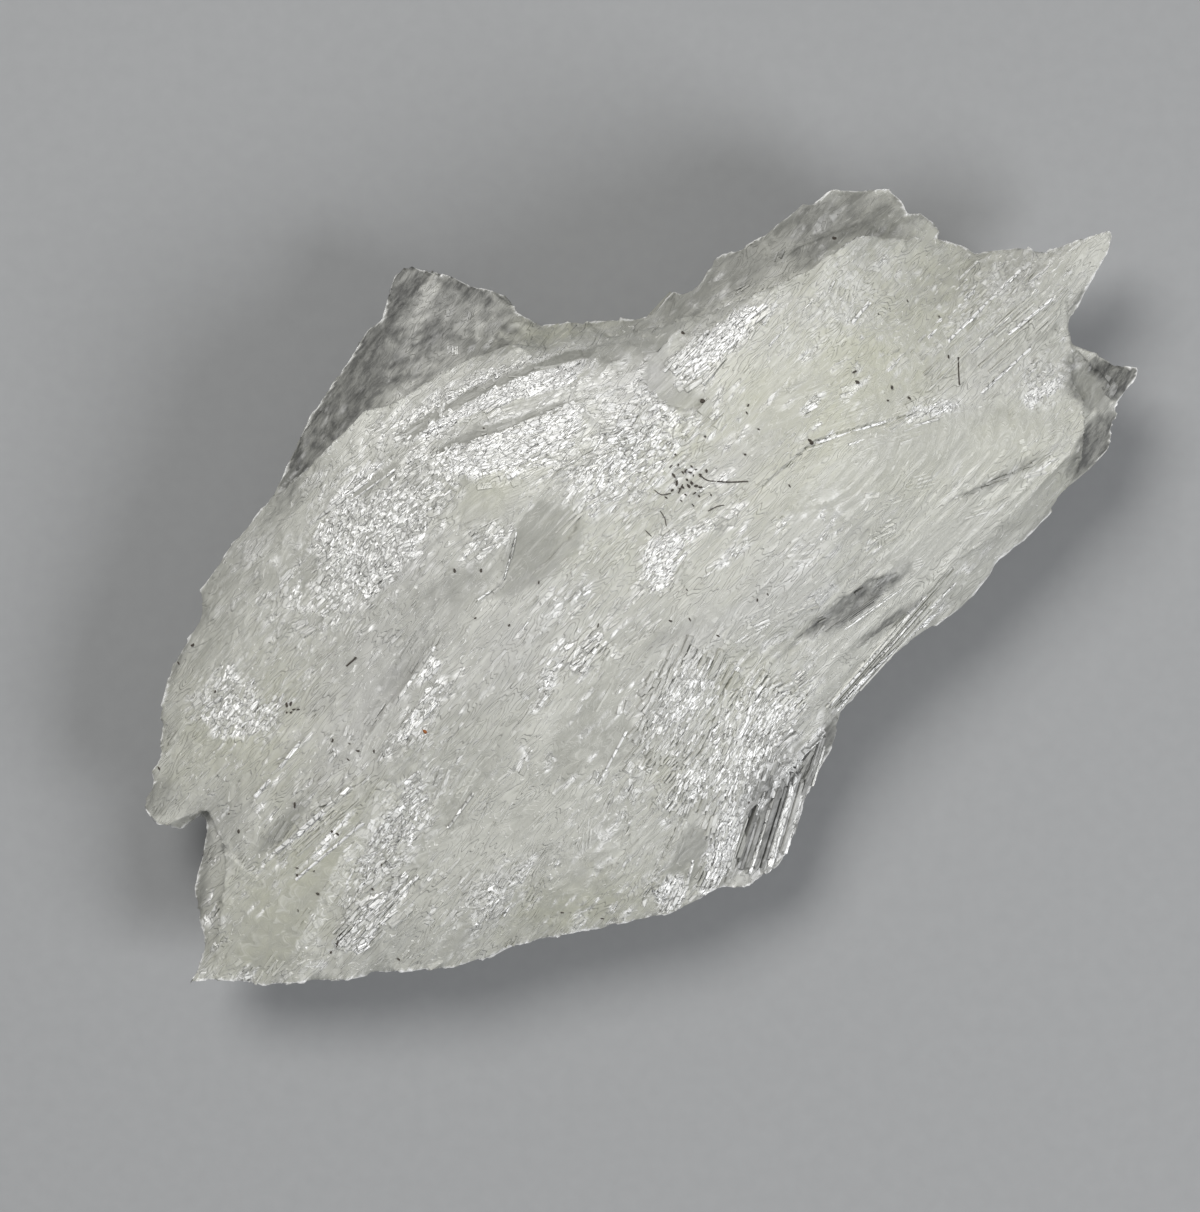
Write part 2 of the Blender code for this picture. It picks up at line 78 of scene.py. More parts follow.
RISE_ALONG, RISE_ACROSS = 0.3, 0.85     # how far the grain's pattern shifts for each mm of height
SHEAF_ALONG, SHEAF_ACROSS = 31.7, 17.3  # mm, how far each sheaf's pattern is shifted from the last one's
# The faces of the blades' relief: how high, long and wide they are in mm, how much they tilt along and
# across, and whether smooth places leave them out.
BLADE_FACES = [
    (0.022, 11, 3.0, 0.5, 0.5, False), (0.015, 5, 1.0, 0.4, 1.0, False), (0.024, 2.2, 0.5, 0.4, 1.0, True),
]
FIBRE_HEIGHT = 0.014        # mm, how high the fibres between them are
# The two ways that the brightest cleavage planes face.
BRIGHT = np.array([(-0.177, 0.213, 0.961), (0.361, -0.201, 0.911)])
PLANE_LENGTH, PLANE_WIDTH = 1.2, 0.55   # mm, a cleavage plane of a glinting patch
TERRACE = 0.22              # the steepest that a terrace's planes lie to the face that they break up
SAG = 0.12                  # mm, the deepest hollow that a scattered blade may lie across
STEEPEST = 1.4              # how far apart in height a blade's ends may be, for each mm of half its length
BLADE_GAP = 1.2             # how many widths it is from one blade of a bundle to the next
SUNK, SUNK_MORE = 0.10, 0.3             # mm, how deep a blade is sunk, and how much more per mm of width
SINGLE_SUNK = 0.3           # mm, how deep a single blade is sunk
BLADE_ALONG, BLADE_ACROSS = 7.3, 3.1    # mm, how far each blade's pattern is shifted from the last one's
DUST_LIFT, FIBRE_LIFT = 0.06, 0.05      # mm, how high over the ground the middles of specks and hairs lie
PANE_EDGE = 0.12            # mm, how soft the edge of a pane is
FLANGE_TOP = 13.4           # mm, the height that the clear flanges stay under
LEDGE_HIGH, LEDGE_LOW = 0.4, 0.9        # mm, how far off a ledge still moves the ground over and under it
CREASE_SHADE_WIDTH = 0.07               # mm, the width of the painted shade at a ledge's foot
# Tone past 1 is mostly a painted highlight: on the rim, on glinting panes and on gleaming blades.
PALEST = 1.6                # the highest tone: 0 is the greyest crystal, 1 is pale, and past 1 it turns white
LOOKS = ("glint", "smooth_skin", "clear", "cream", "lilac")

# Sheaves of blades: a place on the face in mm, and the way they run there, in degrees from +X.
SHEAVES = np.array([
    (-23.9, -0.8, 50), (-27.4, -14.8, 47), (-13.4, -7.8, 50), (-16.9, -20.4, 49), (-5.7, -21.8, 58),
    (0, -14.8, 65), (4.1, -9.2, 60), (8.4, -16.2, 72), (14.6, -7.1, 47), (11.1, -0.8, 33), (21.6, 7.6, 28),
    (18.1, 16.7, 45), (25.1, 20.2, 42), (4.1, 16.7, 44), (-9.9, 11.8, 24), (-2.9, 16.7, 14), (-15.5, 9, 38),
    (16.7, 10.4, 22), (-3, 2, 46), (-20, 8.5, 60), (-14, 18, 80), (10, 24, 62), (3, 5, 40), (-8, -13, 52),
])

# Patches of the front, in mm: x, y, length, width, turn in degrees, strength.
GLINTS = [
    (-2.2, 8.4, 5.6, 4.2, 50, 0.9), (-0.2, 10.2, 8.6, 5, 56, 1), (-18.4, 3.8, 10.5, 5.6, 42, 1),
    (4.8, 16.6, 7, 2.6, 40, 1), (1.6, 1.9, 4.4, 2, 62, 0.9), (3.6, 3.9, 5, 0.9, 14, 0.9),
    (5.8, 4.8, 2.2, 0.9, 30, 0.8), (5.8, 2.2, 2.6, 0.8, 30, 0.7), (-10.2, 10.3, 12.5, 2.2, 20, 0.8),
    (-7, 9.8, 6, 3.4, 30, 1), (-9.8, 13.9, 13.5, 1.9, 24, 1), (-14.6, 11.8, 4, 1.6, 46, 1),
    (2.5, -8, 5.6, 3.2, 62, 0.9), (7.3, -11.1, 8, 5.4, 56, 1), (3.2, -13.6, 4, 2, 50, 0.8),
    (5.6, -17.2, 7.4, 1.8, 72, 1), (1.9, -21.2, 3, 2.2, 60, 1), (-3.6, -4, 2.8, 1.6, 60, 0.9),
    (-6.5, -6.4, 3.6, 1.2, 62, 0.9), (-28.6, -7.4, 3.8, 2.8, 30, 0.9), (-26, -9, 2.8, 1.6, 45, 0.9),
    (-26.9, 2.8, 3, 2, 50, 0.7), (-21, -1.1, 3, 1.8, 50, 0.8), (-22.7, -16, 3.6, 0.9, 46, 1),
    (-17.2, -16.8, 9, 3, 56, 1), (-19.6, -23.2, 6, 1.5, 50, 1), (-15, -8.6, 6.4, 1.6, 52, 0.8),
    (-10.2, -21.4, 5.4, 2.2, 56, 0.8), (-10.5, 3.2, 3.4, 1.8, 30, 0.8), (19.9, 12.1, 3.8, 0.9, 14, 1),
    (28, 14.4, 3.8, 2.6, 40, 0.7), (11.8, -0.9, 2.8, 1, 40, 0.8), (16.8, -5.2, 8.5, 1.2, 44, 0.8),
    (24, 20, 9, 3, 44, 0.5), (14, 19.6, 8, 3.6, 40, 0.4), (-5.6, -1, 4, 1.6, 50, 0.5),
    (9, -20, 3.6, 1.6, 72, 0.9),
]
BARS = [
    (2.6, -8.2, 6.4, 4, 62, 0.9), (7.3, -10.8, 8.4, 5.6, 56, 1), (3.4, -13.2, 4.6, 2.4, 56, 0.8),
    (5.6, -17, 7.4, 1.6, 72, 0.7), (4.8, 16.6, 6.6, 1.6, 42, 0.4), (-19, -22.8, 5, 1.2, 50, 0.6),
    (10, -8, 4, 2.4, 50, 0.6), (2, -21.2, 2.6, 1.6, 64, 0.5), (-3.4, -4.4, 2.6, 1.4, 64, 0.5),
]
SMOOTH = [
    (-6.6, 3, 5.8, 4, 60, 1), (-11.5, 0.4, 6.6, 3, 36, 0.8), (24, 10.2, 9, 3.4, 30, 0.9),
    (-13, -24.5, 5, 2.4, 50, 0.5), (-25, -22.5, 9, 5, 50, 0.8), (13, 6.2, 9, 3.6, 30, 0.9),
    (9, 12.4, 9, 4, 42, 0.8), (-3.4, -9, 9, 4.4, 60, 0.8), (-4, -19.5, 8, 3, 60, 0.8),
    (2.6, 13.6, 3.8, 2.2, -30, 0.9), (-18, -8, 10, 3.2, 52, 0.7), (-9, 12, 11, 0.9, 20, 1),
    (16, 13.6, 12, 3.6, 44, 0.6), (4, -2.6, 6, 2.4, 30, 0.7), (-12, -14, 8, 2.6, 54, 0.6),
    (20, 3.4, 9, 2.4, 34, 0.7), (0, 16, 6, 1.4, 20, 0.8), (-24, 3, 6, 2.6, 48, 0.5),
]
CLEAR = [
    (9.3, -15.4, 8.5, 4.2, 72, 0.85), (9.4, -16.6, 9.6, 5, 72, 0.3), (12.8, -12, 6.4, 2.2, 72, 0.8),
    (-7, 3, 5, 3.6, 60, 0.35), (14.8, -1, 7.2, 1.6, 34, 0.85), (13.5, -1.6, 5.8, 0.5, 35, 1),
    (17, -2.4, 5, 0.5, 38, 0.8), (-31.2, -21, 9, 1.6, 86, 0.5), (-33.6, -14.4, 3, 2, 60, 0.4),
    (3, 12.6, 3.4, 1.4, -34, 0.25), (28, 4.4, 6, 1, 44, 0.6), (-32.4, -4.6, 5, 0.9, 66, 0.5),
    (25.6, 8, 6.4, 0.9, 28, 0.4), (-24.6, -16.2, 5, 1.2, 48, 0.4), (-16, -5, 7, 1.4, 52, 0.25),
    (-13, 0, 5, 2, 30, 0.25), (2, -3.2, 4, 1, 30, 0.25), (31.4, 20, 4, 1.8, 60, 0.9),
]
# The clear flanges that stick out under the front, and the cloudy wisps in them.
FLANGES = [
    (-15.4, 18.8, 14, 10, -24, 1), (-21.6, 12.8, 15, 8, 56, 1), (13.4, 24.8, 10, 6, 10, 0.65),
    (5, 21.6, 12, 4, 34, 0.5), (33.2, 14.8, 4.8, 3, -10, 1), (31.8, 9.8, 6, 3, 56, 1),
    (31, 14.6, 3.6, 3.6, 0, 0.7),
]
WISPS = [
    (-15.2, 19.8, 5.6, 1.5, 66, 1), (-14, 15.6, 5, 1.8, 24, 0.9), (-17.6, 13, 6, 1.2, 50, 0.8),
    (-11.6, 18.4, 4, 2, -30, 0.9), (-16.6, 16.6, 2.6, 1, -20, 0.7), (9.6, 24, 3, 2, 40, 0.7),
]
CREAM = [
    (-27, -10, 9, 7, 45, 0.9), (-23.5, -20, 13, 6, 52, 0.9), (5, 10, 16, 6, 42, 0.9),
    (14, 15, 20, 8, 42, 1), (-9, 8, 7, 3, 30, 0.8), (-3, -22, 12, 3.6, 10, 0.9), (28, 10, 7, 6, 45, 0.5),
    (7, 1, 5, 3, 40, 0.5), (20, 8, 14, 4, 30, 0.6), (-6, 18, 7, 2, 6, 0.9), (6, -7, 7, 4, 50, 0.6),
    (2, -13, 5, 4, 60, 0.4),
]
LILAC = [
    (-18, -6, 12, 5, 48, 0.9), (-9, -4, 8, 5, 48, 0.7), (8.5, 0, 10, 4, 40, 0.7),
    (-16.5, 1.6, 6, 4, 46, 0.8), (5.6, 8.4, 4.4, 3, 40, 0.8), (23, 14.4, 4.4, 3, 40, 0.5),
    (9.4, -17, 9, 5, 72, 0.9), (0, 14, 5, 3, 20, 0.9), (-20, -11, 8, 4, 50, 0.8), (-29, -16, 6, 4, 50, 0.5),
    (3.4, -4, 8, 3, 50, 0.6), (-15, 19, 9, 7, 0, 0.5),
]

# Cleavage faces with crisp edges: corners in mm, then how much they glint, how smooth and how clear they are,
# and how much lighter: above 0 a painted glint white, below 0 a darker tone.
PANES = [
    ([(-15.5, 10.3), (-13.4, 11.8), (-9.9, 13.6), (-6.7, 14.8), (-3.7, 15.7), (-3.8, 14.9), (-5, 13.7),
      (-8.5, 12.8), (-12, 11.7), (-14.1, 10.4), (-14.9, 9.7)], 1, 0, 0, 0.95),
    ([(-17.2, 10.2), (-14.8, 11.8), (-12, 13.4), (-8.5, 14.8), (-5.7, 15.9), (-2.6, 16.7), (-3.7, 15.7),
      (-6.7, 14.8), (-9.9, 13.6), (-13.4, 11.8), (-15.5, 10.3)], 0, 1, 0.25, -0.2),
    ([(-13.9, 9.2), (-12, 9.8), (-9.2, 10.7), (-6.5, 11.6), (-4.9, 12.3), (-5.3, 12.7), (-7.1, 12.1),
      (-9.9, 11.3), (-12.3, 10.4), (-13.7, 9.7)], 0, 1, 0.3, -0.1),
    ([(-13.9, 9.2), (-12, 9.8), (-9.2, 10.7), (-6.5, 11.6), (-4.8, 12.3), (-4, 11), (-5.3, 9.3),
      (-8.2, 8.3), (-11.1, 7.5), (-13.4, 7.8)], 1, 0, 0, 0.7),
    ([(-8.6, 3.9), (-8.1, 5), (-6.9, 6), (-5.3, 5.7), (-3.9, 4.4), (-4.3, 2.3), (-6, 1.7), (-7.3, 0.3),
      (-8.9, -0.6), (-11.2, -0.8), (-10, -0.1), (-9.4, 0.8), (-9.1, 2.6)], 0, 0.9, 0.16, -0.15),
    ([(-0.1, 14.1), (0.5, 15.3), (1.2, 16.7), (2, 15.9), (2, 13.9), (3.4, 12.7), (4.8, 12), (1.8, 12.1),
      (0.8, 12.7)], 0, 1, 0.15, -0.15),
    ([(-12.5, 5.7), (-11.4, 6.7), (-9.9, 7.1), (-8, 7.4), (-8.5, 5.9), (-9, 4.7), (-10.7, 4.3), (-12, 4.6)],
      0, 0.9, 0, -0.15),
    ([(-24.6, -26.2), (-23.9, -24.5), (-22.3, -21.5), (-20.4, -17.6), (-21.6, -18.2), (-23.4, -19.4),
      (-25.3, -21.2), (-27, -23.6), (-28.4, -25.4), (-27.4, -26.3)], 0, 1, 0, -0.5),
    ([(-24.3, -25.4), (-22.3, -21.5), (-20.4, -17.6), (-18.6, -15), (-17.4, -13.2), (-16.2, -13.8),
      (-17.8, -16), (-19.6, -18.8), (-21.2, -21.6), (-22.9, -24.6)], 0.35, 0.5, 0, 0.45),
    ([(7.8, -15.2), (10.2, -12.2), (12.5, -9.5), (13.1, -9.9), (10.9, -12.7), (8.6, -15.5)], 1, 0, 0, 1),
    ([(-9.5, -17.4), (-9, -15.6), (-8.1, -14.6), (-6.7, -14.8), (-7.1, -16.3), (-8.2, -17.7)],
      0, 0.6, 0, -0.1),
    ([(-3, -10.9), (-2.5, -9.7), (-1.3, -8.6), (-0.5, -9.3), (-0.7, -10.9), (-1.3, -12.3), (-2.5, -12)],
      0, 1, 0.05, -0.05),
    ([(1.9, -19.8), (2.5, -17.7), (3.4, -16.2), (4.4, -16.5), (4.7, -18), (4.1, -19.8), (3.3, -20.9)],
      0, 0.8, 0.25, 0),
    ([(1, -21.3), (1.6, -20), (2.9, -19.8), (3, -21.1), (2.5, -22.3), (1.3, -22.6)], 1, 0, 0, 0.8),
    ([(14.6, 9.4), (16.7, 10.7), (20.2, 11.7), (24.1, 12.4), (27.7, 11.8), (26.5, 10.1), (23.4, 8.9),
      (20.2, 8.3), (16.7, 8.3)], 0, 0.9, 0, -0.1),
    ([(29.9, 15.2), (31.1, 15.6), (32.1, 14.6), (33, 13.6), (32.5, 12.5), (31.1, 12.4), (30, 13.6)],
      0, 1, 0.5, -0.1),
    ([(26, 13.2), (27.7, 14.2), (28.8, 14.4), (28.4, 13.5), (26.8, 12.5)], 1, 0, 0, 0.7),
    ([(-0.1, 2), (0.4, 3.3), (1.9, 3.6), (3.1, 3.8), (2.4, 2.3), (2.1, 0.9), (1.2, -0.2), (0.6, 0.9)],
      1, 0, 0, 0.8),
    ([(-20.2, -25.3), (-18.8, -23.5), (-17, -21.3), (-16, -20.4), (-16.2, -21.2), (-18, -23.5),
      (-19.5, -25.4)], 1, 0, 0, 0.95),
    ([(-23, -18.6), (-21.8, -17), (-20.2, -15.5), (-19.7, -15.3), (-20.2, -16.3), (-21.8, -17.9),
      (-22.6, -18.8)], 1, 0, 0, 0.95),
    ([(2.5, 15.2), (4.1, 17.1), (6.2, 18.7), (7.8, 18.6), (7.2, 17.3), (5.3, 15.6), (3.4, 14.4)],
      1, 0, 0, 0.95),
    ([(-30.5, -8.9), (-29.1, -7.8), (-26.5, -7.4), (-24.7, -8.1), (-25.3, -9.3), (-27.5, -10.4),
      (-29.5, -10.3)], 0.9, 0, 0, 0.6),
    ([(-20.4, 6.2), (-17.2, 5.9), (-14, 4.6), (-15.6, 2.4), (-17.2, 0.6), (-18.4, -0.7), (-19.6, 0.3),
      (-21.6, 1.6), (-23, 2.7), (-21.8, 4.4)], 1, 0, 0, 0.45),
    ([(-21.7, 5.4), (-20.6, 6.9), (-19, 8.2), (-17.4, 8.9), (-18.2, 7.9), (-19.8, 6.6), (-21.2, 5.3)],
      1, 0, 0, 0.9),
    ([(-22.4, 4.2), (-21.2, 5.3), (-19.8, 6.6), (-18.2, 7.9), (-16.4, 8.8), (-17, 7.4), (-18.6, 6.3),
      (-20.4, 6.2), (-21.8, 4.4)], 0, 0.9, 0.1, -0.15),
    ([(-15.6, -6.4), (-15, -6.7), (-13.6, -5), (-14.2, -4.6)], 1, 0, 0, 0.9),
    ([(-16.9, -10.3), (-16.6, -10.5), (-13.6, -7.7), (-13.8, -7.4)], 1, 0, 0, 0.9),
    ([(4.1, -19.1), (5.3, -16.7), (6.2, -14.8), (7.2, -15.2), (6.8, -17.6), (5.7, -20.4), (4.6, -20.7)],
      1, 0, 0, 0.8),
]

# Ledges: points in mm with the higher ground on the left of the way they run, the step in mm, and how
# dark the painted shade at its foot is.
LEDGES = [
    ([(-15.5, 10.4), (-12.6, 11.5), (-8.5, 13), (-5.7, 14.6), (-3.8, 15.7)], 0.4, 0.5),
    ([(-5, 12.3), (-8.5, 10.8), (-11.3, 9.8), (-14, 9), (-15.2, 9.2)], 0.3, 0.5),
    ([(-11.3, -0.8), (-9.4, 0.4), (-9, 2), (-8.5, 4.1)], 0.25, 0.5),
    ([(-3.6, 5.9), (-4.8, 3.4), (-6.2, 1.9), (-7.8, 0.6)], 0.2, 0.2),
    ([(4.6, 12.1), (2.7, 12), (1.4, 12.3), (0.3, 13.1), (-0.6, 14.6)], 0.25, 0.3),
    ([(7.3, 6.2), (9.3, 8), (11.3, 9.8), (13.1, 10.5), (16.7, 11.5), (20.8, 12.5)], 0.3, 0.35),
    ([(20.9, 5.9), (23.2, 6.9), (25.8, 8.2), (27.9, 9.2)], 0.2, 0.7),
    ([(15.2, -3.9), (17.4, -2.4), (19.2, -0.9)], 0.3, 1),
    ([(12.4, -8.5), (15.3, -5.5), (18.3, -1.8), (21.6, 1.6), (25.1, 4.1)], 0.28, 0.5),
    ([(-19.5, -13.4), (-22, -15.2), (-23.9, -16.9), (-25.6, -18.4)], 0.25, 0.4),
    ([(-13.5, -3.3), (-16.6, -7.1), (-19.5, -11.1)], 0.22, 0.3),
    ([(29.5, 6.6), (30.5, 8.3), (30.7, 11.1), (30.6, 13.2), (29.9, 14.3), (30.1, 16), (29.5, 20.2)],
      0.4, 0.4),
    ([(33, 13.8), (32.5, 14.8), (31.1, 16), (30.2, 17.2)], 0.35, 0.7),
    ([(1.3, -10.3), (-0.4, -12.7), (-0.9, -14.8), (-0.9, -17.5), (-0.8, -19.5)], 0.12, 0.2),
    ([(2.9, -16.2), (2.2, -17.6), (1.3, -19.1), (0.8, -20.7), (1.2, -22.4)], 0.3, 0.3),
    ([(3.4, -5.7), (4.9, -7.6), (5.8, -8.6)], 0.08, 0.6),
    ([(1.8, -2.4), (0.4, -3.2), (-1.7, -4.3)], 0.12, 0.5), ([(6.4, -3.9), (4.1, -2.6)], 0.08, 0.4),
    ([(-11.6, 15.8), (-14.1, 14.4), (-16.8, 12.7), (-19.2, 12), (-21.4, 9.7), (-23.9, 7.6), (-26.5, 5.8)],
      0.35, 1),
    ([(-5.7, 16.5), (-8.5, 16.7), (-10.6, 17.2)], 0.14, 0.8),
    ([(15.3, 25.3), (13.2, 24.6), (11.1, 23.7), (9, 22.5)], 0.2, 0.4),
    ([(11.1, 21.4), (7.6, 19.9), (4.1, 18.7), (0.6, 17.8), (-2.9, 17.2)], 0.22, 0.35),
    ([(5.7, -20.7), (6.6, -17.6), (7.3, -15.6), (9.4, -13.4), (11.1, -11.3), (13, -9.5), (14.2, -8.4)],
      0.45, 0.7),
    ([(10.9, -3.3), (13.2, -1.2), (15.3, 0.4), (17.4, 1.1)], 0.28, 0.8),
    ([(-26.5, -20.4), (-28.8, -18.3), (-30.5, -16.5)], 0.2, 0.3),
    ([(2.2, -10.6), (1, -13.6), (0.6, -15.8)], 0.12, 0.2), ([(-29.6, -2), (-30.9, -3.8)], 0.2, 1),
    ([(-32.3, -9.9), (-33.2, -11.2)], 0.2, 1), ([(-34, -14.2), (-34.5, -15.6)], 0.15, 1),
    ([(-29.6, -18.4), (-30.8, -19.4)], 0.2, 1),
]

# Single blades: both ends in mm, the width and how far they stand out.
BLADES = [
    (-21.2, -25, -16, -19.4, 0.5, 0.22), (-20.8, -25, -15.2, -19.6, 0.3, 0.16),
    (-20, -24.6, -17, -21.2, 0.3, 0.25), (-25.4, -18.3, -19.8, -13.5, 0.45, 0.2),
    (-24, -17.4, -21.4, -15, 0.5, 0.26), (-24, -20.2, -19, -16, 0.3, 0.12),
    (-14.9, -6.4, -13.6, -4.6, 0.9, 0.16), (-16.4, -9.6, -13.8, -6.6, 0.5, 0.14),
    (-15.9, -10, -13.9, -7.7, 0.3, 0.2), (-17, -8, -14, -3.8, 0.4, 0.12),
    (-21.5, 5.6, -17.4, 8.8, 0.45, 0.18), (-22.5, 4.6, -18.6, 7.4, 0.3, 0.14),
    (-20.6, 5.4, -16.6, 8.2, 0.3, 0.14), (-25, -12.4, -23.4, -10.4, 0.4, 0.18),
    (-30.4, -8.4, -28.8, -7.2, 0.5, 0.18), (-26.9, -14.6, -25.4, -13, 0.35, 0.16),
    (12.8, -8.2, 18.4, -2, 0.4, 0.2), (14, -7.6, 19.6, -2.4, 0.3, 0.16), (13.4, -8.6, 17, -4.6, 0.25, 0.2),
    (16, -5.6, 22, 0.6, 0.35, 0.14), (14.1, 17.8, 15.5, 19.5, 0.3, 0.14),
    (20.8, 16.8, 26.3, 22.1, 0.35, 0.14), (25.1, 17.4, 28.6, 20.2, 0.35, 0.14),
    (19.4, 17, 23, 20.6, 0.3, 0.12), (22.4, 16, 27.4, 20.8, 0.25, 0.12),
    (16.4, 14.6, 20.6, 18.6, 0.25, 0.1), (23, 13.2, 27, 16.8, 0.3, 0.12),
    (26.4, 14.6, 29.4, 17.6, 0.35, 0.14), (8.4, 16.2, 11.6, 19.6, 0.3, 0.1),
    (11.6, 9.8, 16.6, 11.4, 0.3, 0.14), (13.6, 9.6, 20.4, 11.6, 0.3, 0.12),
    (9, -13.4, 12.8, -10, 0.5, 0.26), (5.9, -19.8, 7, -15.4, 0.45, 0.22),
    (-9.6, -22.8, -7.4, -18.6, 0.3, 0.14), (-11.6, -23.4, -9.4, -20, 0.3, 0.14),
    (7.4, -20.2, 9.4, -14, 0.45, 0.25), (9, -19.7, 10.9, -12.8, 0.4, 0.3),
    (-15.3, 10.4, -11, 12.2, 0.25, 0.1), (-11.2, 12.1, -7.4, 13.7, 0.3, 0.1),
    (-7.6, 13.7, -4, 15.4, 0.25, 0.1), (-13.2, 9.2, -9.4, 10.3, 0.2, 0.08),
    (-9.6, 10.3, -5.6, 11.5, 0.2, 0.08), (-8.5, 3.9, -8.9, 1.9, 0.18, 0.08),
    (-8.95, 2, -9.4, 0.5, 0.18, 0.08), (-9.4, 0.5, -11.2, -0.8, 0.18, 0.08),
    (-3, -13.4, -1, -9.6, 0.25, 0.1), (2.8, -21.8, 3.6, -18.6, 0.35, 0.16),
    (-13.4, -16.6, -11.4, -13.8, 0.3, 0.12),
]

# Fans of blades side by side: where the first starts and ends and where the last does, how many, widths and
# rises.
FANS = [
    ((5.7, -20.7), (7.4, -15.4), (10.3, -19.2), (12.3, -11.6), 17, (0.25, 0.75), (0.06, 0.32)),
    ((11, -14.8), (12.5, -10), (12, -14), (13.3, -9.6), 6, (0.2, 0.4), (0.05, 0.2)),
    ((12.2, -3.2), (16.6, -0.2), (13.6, -3), (18.4, 0.4), 6, (0.08, 0.2), (0.02, 0.07)),
    ((12.4, -8.6), (20.6, 1), (14.6, -8.4), (23.6, 1.6), 11, (0.12, 0.36), (0.05, 0.2)),
    ((19.6, 13.4), (24.8, 18.4), (17.2, 17), (23.6, 23.2), 8, (0.12, 0.3), (0.05, 0.13)),
    ((24.4, 13.8), (29, 17.8), (21.4, 17.2), (28, 22.9), 8, (0.12, 0.32), (0.05, 0.14)),
    ((14, 14.8), (18.6, 19.8), (19.4, 15.4), (24.4, 20.6), 7, (0.1, 0.28), (0.04, 0.1)),
    ((8, 13), (12.2, 17.6), (13.4, 12.6), (17.4, 17.2), 7, (0.1, 0.24), (0.03, 0.08)),
    ((-21.4, -25.3), (-16.2, -19.2), (-19.9, -25.2), (-15.2, -20.2), 7, (0.12, 0.3), (0.04, 0.14)),
    ((-25.2, -18.6), (-19.6, -13.6), (-24, -19.4), (-19, -15), 6, (0.12, 0.36), (0.03, 0.1)),
]

# Dust on the front, in mm: x, y and how wide each speck is, and then the points and width of each fibre.
SPECKS = [
    (11.3, 9.9, 0.35), (20.9, 15.8, 0.18), (14.5, 13.9, 0.22), (16.6, 12.7, 0.14), (18.1, 12.9, 0.14),
    (2.7, 17.2, 0.21), (4, 12.6, 0.28), (4.2, 10.2, 0.15), (6.9, 9, 0.14), (7.8, 10.7, 0.11),
    (7, 11.8, 0.11), (2.4, 8.3, 0.15), (2.7, 7.8, 0.17), (3.2, 7.8, 0.18), (3.4, 7.6, 0.15), (3.6, 8, 0.14),
    (3, 7.3, 0.15), (3.3, 7.1, 0.17), (3.6, 6.9, 0.14), (2.7, 6.8, 0.14), (2.5, 6.7, 0.13),
    (3.5, 6.4, 0.14), (3.8, 6.2, 0.13), (2.9, 6.3, 0.11), (-24.4, -8, 0.18), (-24.1, -7.9, 0.17),
    (-23.9, -8.3, 0.15), (-24.4, -8.5, 0.14), (-24.1, -8.5, 0.17), (-23.6, -8.3, 0.14),
    (-21.2, -10.4, 0.15), (-20, -10.6, 0.14), (-20.1, -11.7, 0.15), (-18.3, -11.1, 0.18),
    (-19.4, -11.1, 0.18), (-23.9, -14.9, 0.21), (-27.9, -16.8, 0.2), (-28.6, -15.6, 0.14),
    (-21.3, -16.7, 0.18), (-20.9, -16.9, 0.15), (-23.8, -19.3, 0.15), (-23.8, -19.8, 0.17),
    (-22.6, -19.5, 0.11), (-22.4, -21.1, 0.2), (-17.9, -19, 0.14), (-18.6, -20.7, 0.14),
    (-23.8, -22.3, 0.11), (-21.6, -25.3, 0.14), (-16.9, -25.8, 0.14), (-31.2, -3.9, 0.2),
    (-32.2, -5.2, 0.18), (-29.5, -7.1, 0.17), (-33.6, -12.5, 0.17), (-12.7, 1.2, 0.17), (-10.9, 1.2, 0.14),
    (-11.3, -2, 0.17), (-14.6, 10.2, 0.11), (-10.7, 10.8, 0.11), (-9, -2.5, 0.14), (-7, 0.4, 0.15),
    (-19.8, 6.8, 0.11), (13.3, 24.2, 0.18), (18.1, 19.6, 0.11), (20.3, 18.6, 0.11), (16, 18.6, 0.08),
    (9.9, 6.9, 0.14), (5.1, -3.2, 0.17), (1.9, -2.2, 0.13), (3.2, -2.1, 0.14), (8.5, -0.4, 0.11),
    (7.8, -0.8, 0.11), (-3, -2.5, 0.14), (2.1, 7.6, 0.2), (1.9, 8.2, 0.16), (2.3, 7.1, 0.2),
    (2.9, 7.9, 0.2), (3.3, 8.2, 0.14), (3.9, 7.6, 0.2), (3.1, 6.9, 0.18), (2, 6.6, 0.14), (2.6, 5.9, 0.16),
    (3.9, 6.8, 0.16), (4.3, 7.9, 0.14), (1.6, 6.1, 0.12), (4.6, 6.3, 0.12), (3.4, 5.6, 0.12),
    (2.2, 9, 0.12), (14.3, 14.6, 0.2), (16.9, 13.6, 0.14), (7.1, 12.3, 0.16), (4.1, -5.7, 0.25),
    (10.2, -7.1, 0.14), (11.4, -7.3, 0.14), (3, -0.1, 0.11), (-5.5, -22.5, 0.14), (-2.7, -23, 0.14),
    (7.4, -14.8, 0.21),
]
RUST_SPECK = (-14.8, -9.7, 0.26)
FIBRES = [
    ([(3.8, 7.7), (4.3, 7.3), (5, 7.2), (5.9, 7.15), (7.1, 7.2)], 0.08),
    ([(21.6, 15.8), (21.6, 14.8), (21.65, 13.9)], 0.1), ([(-20.7, -23.4), (-21.2, -24.9)], 0.12),
    ([(-19.5, -4.7), (-20.2, -5.3)], 0.11), ([(0.8, 6.6), (1.3, 6.3), (1.9, 6.4)], 0.06),
    ([(1.2, 5.2), (1.5, 4.7), (1.6, 4.2)], 0.06), ([(0.2, 3.9), (0.6, 3.5)], 0.06),
    ([(4.4, 5.2), (5, 5.5), (5.5, 5.6)], 0.06), ([(2.7, 7), (2.4, 6.4)], 0.08),
]


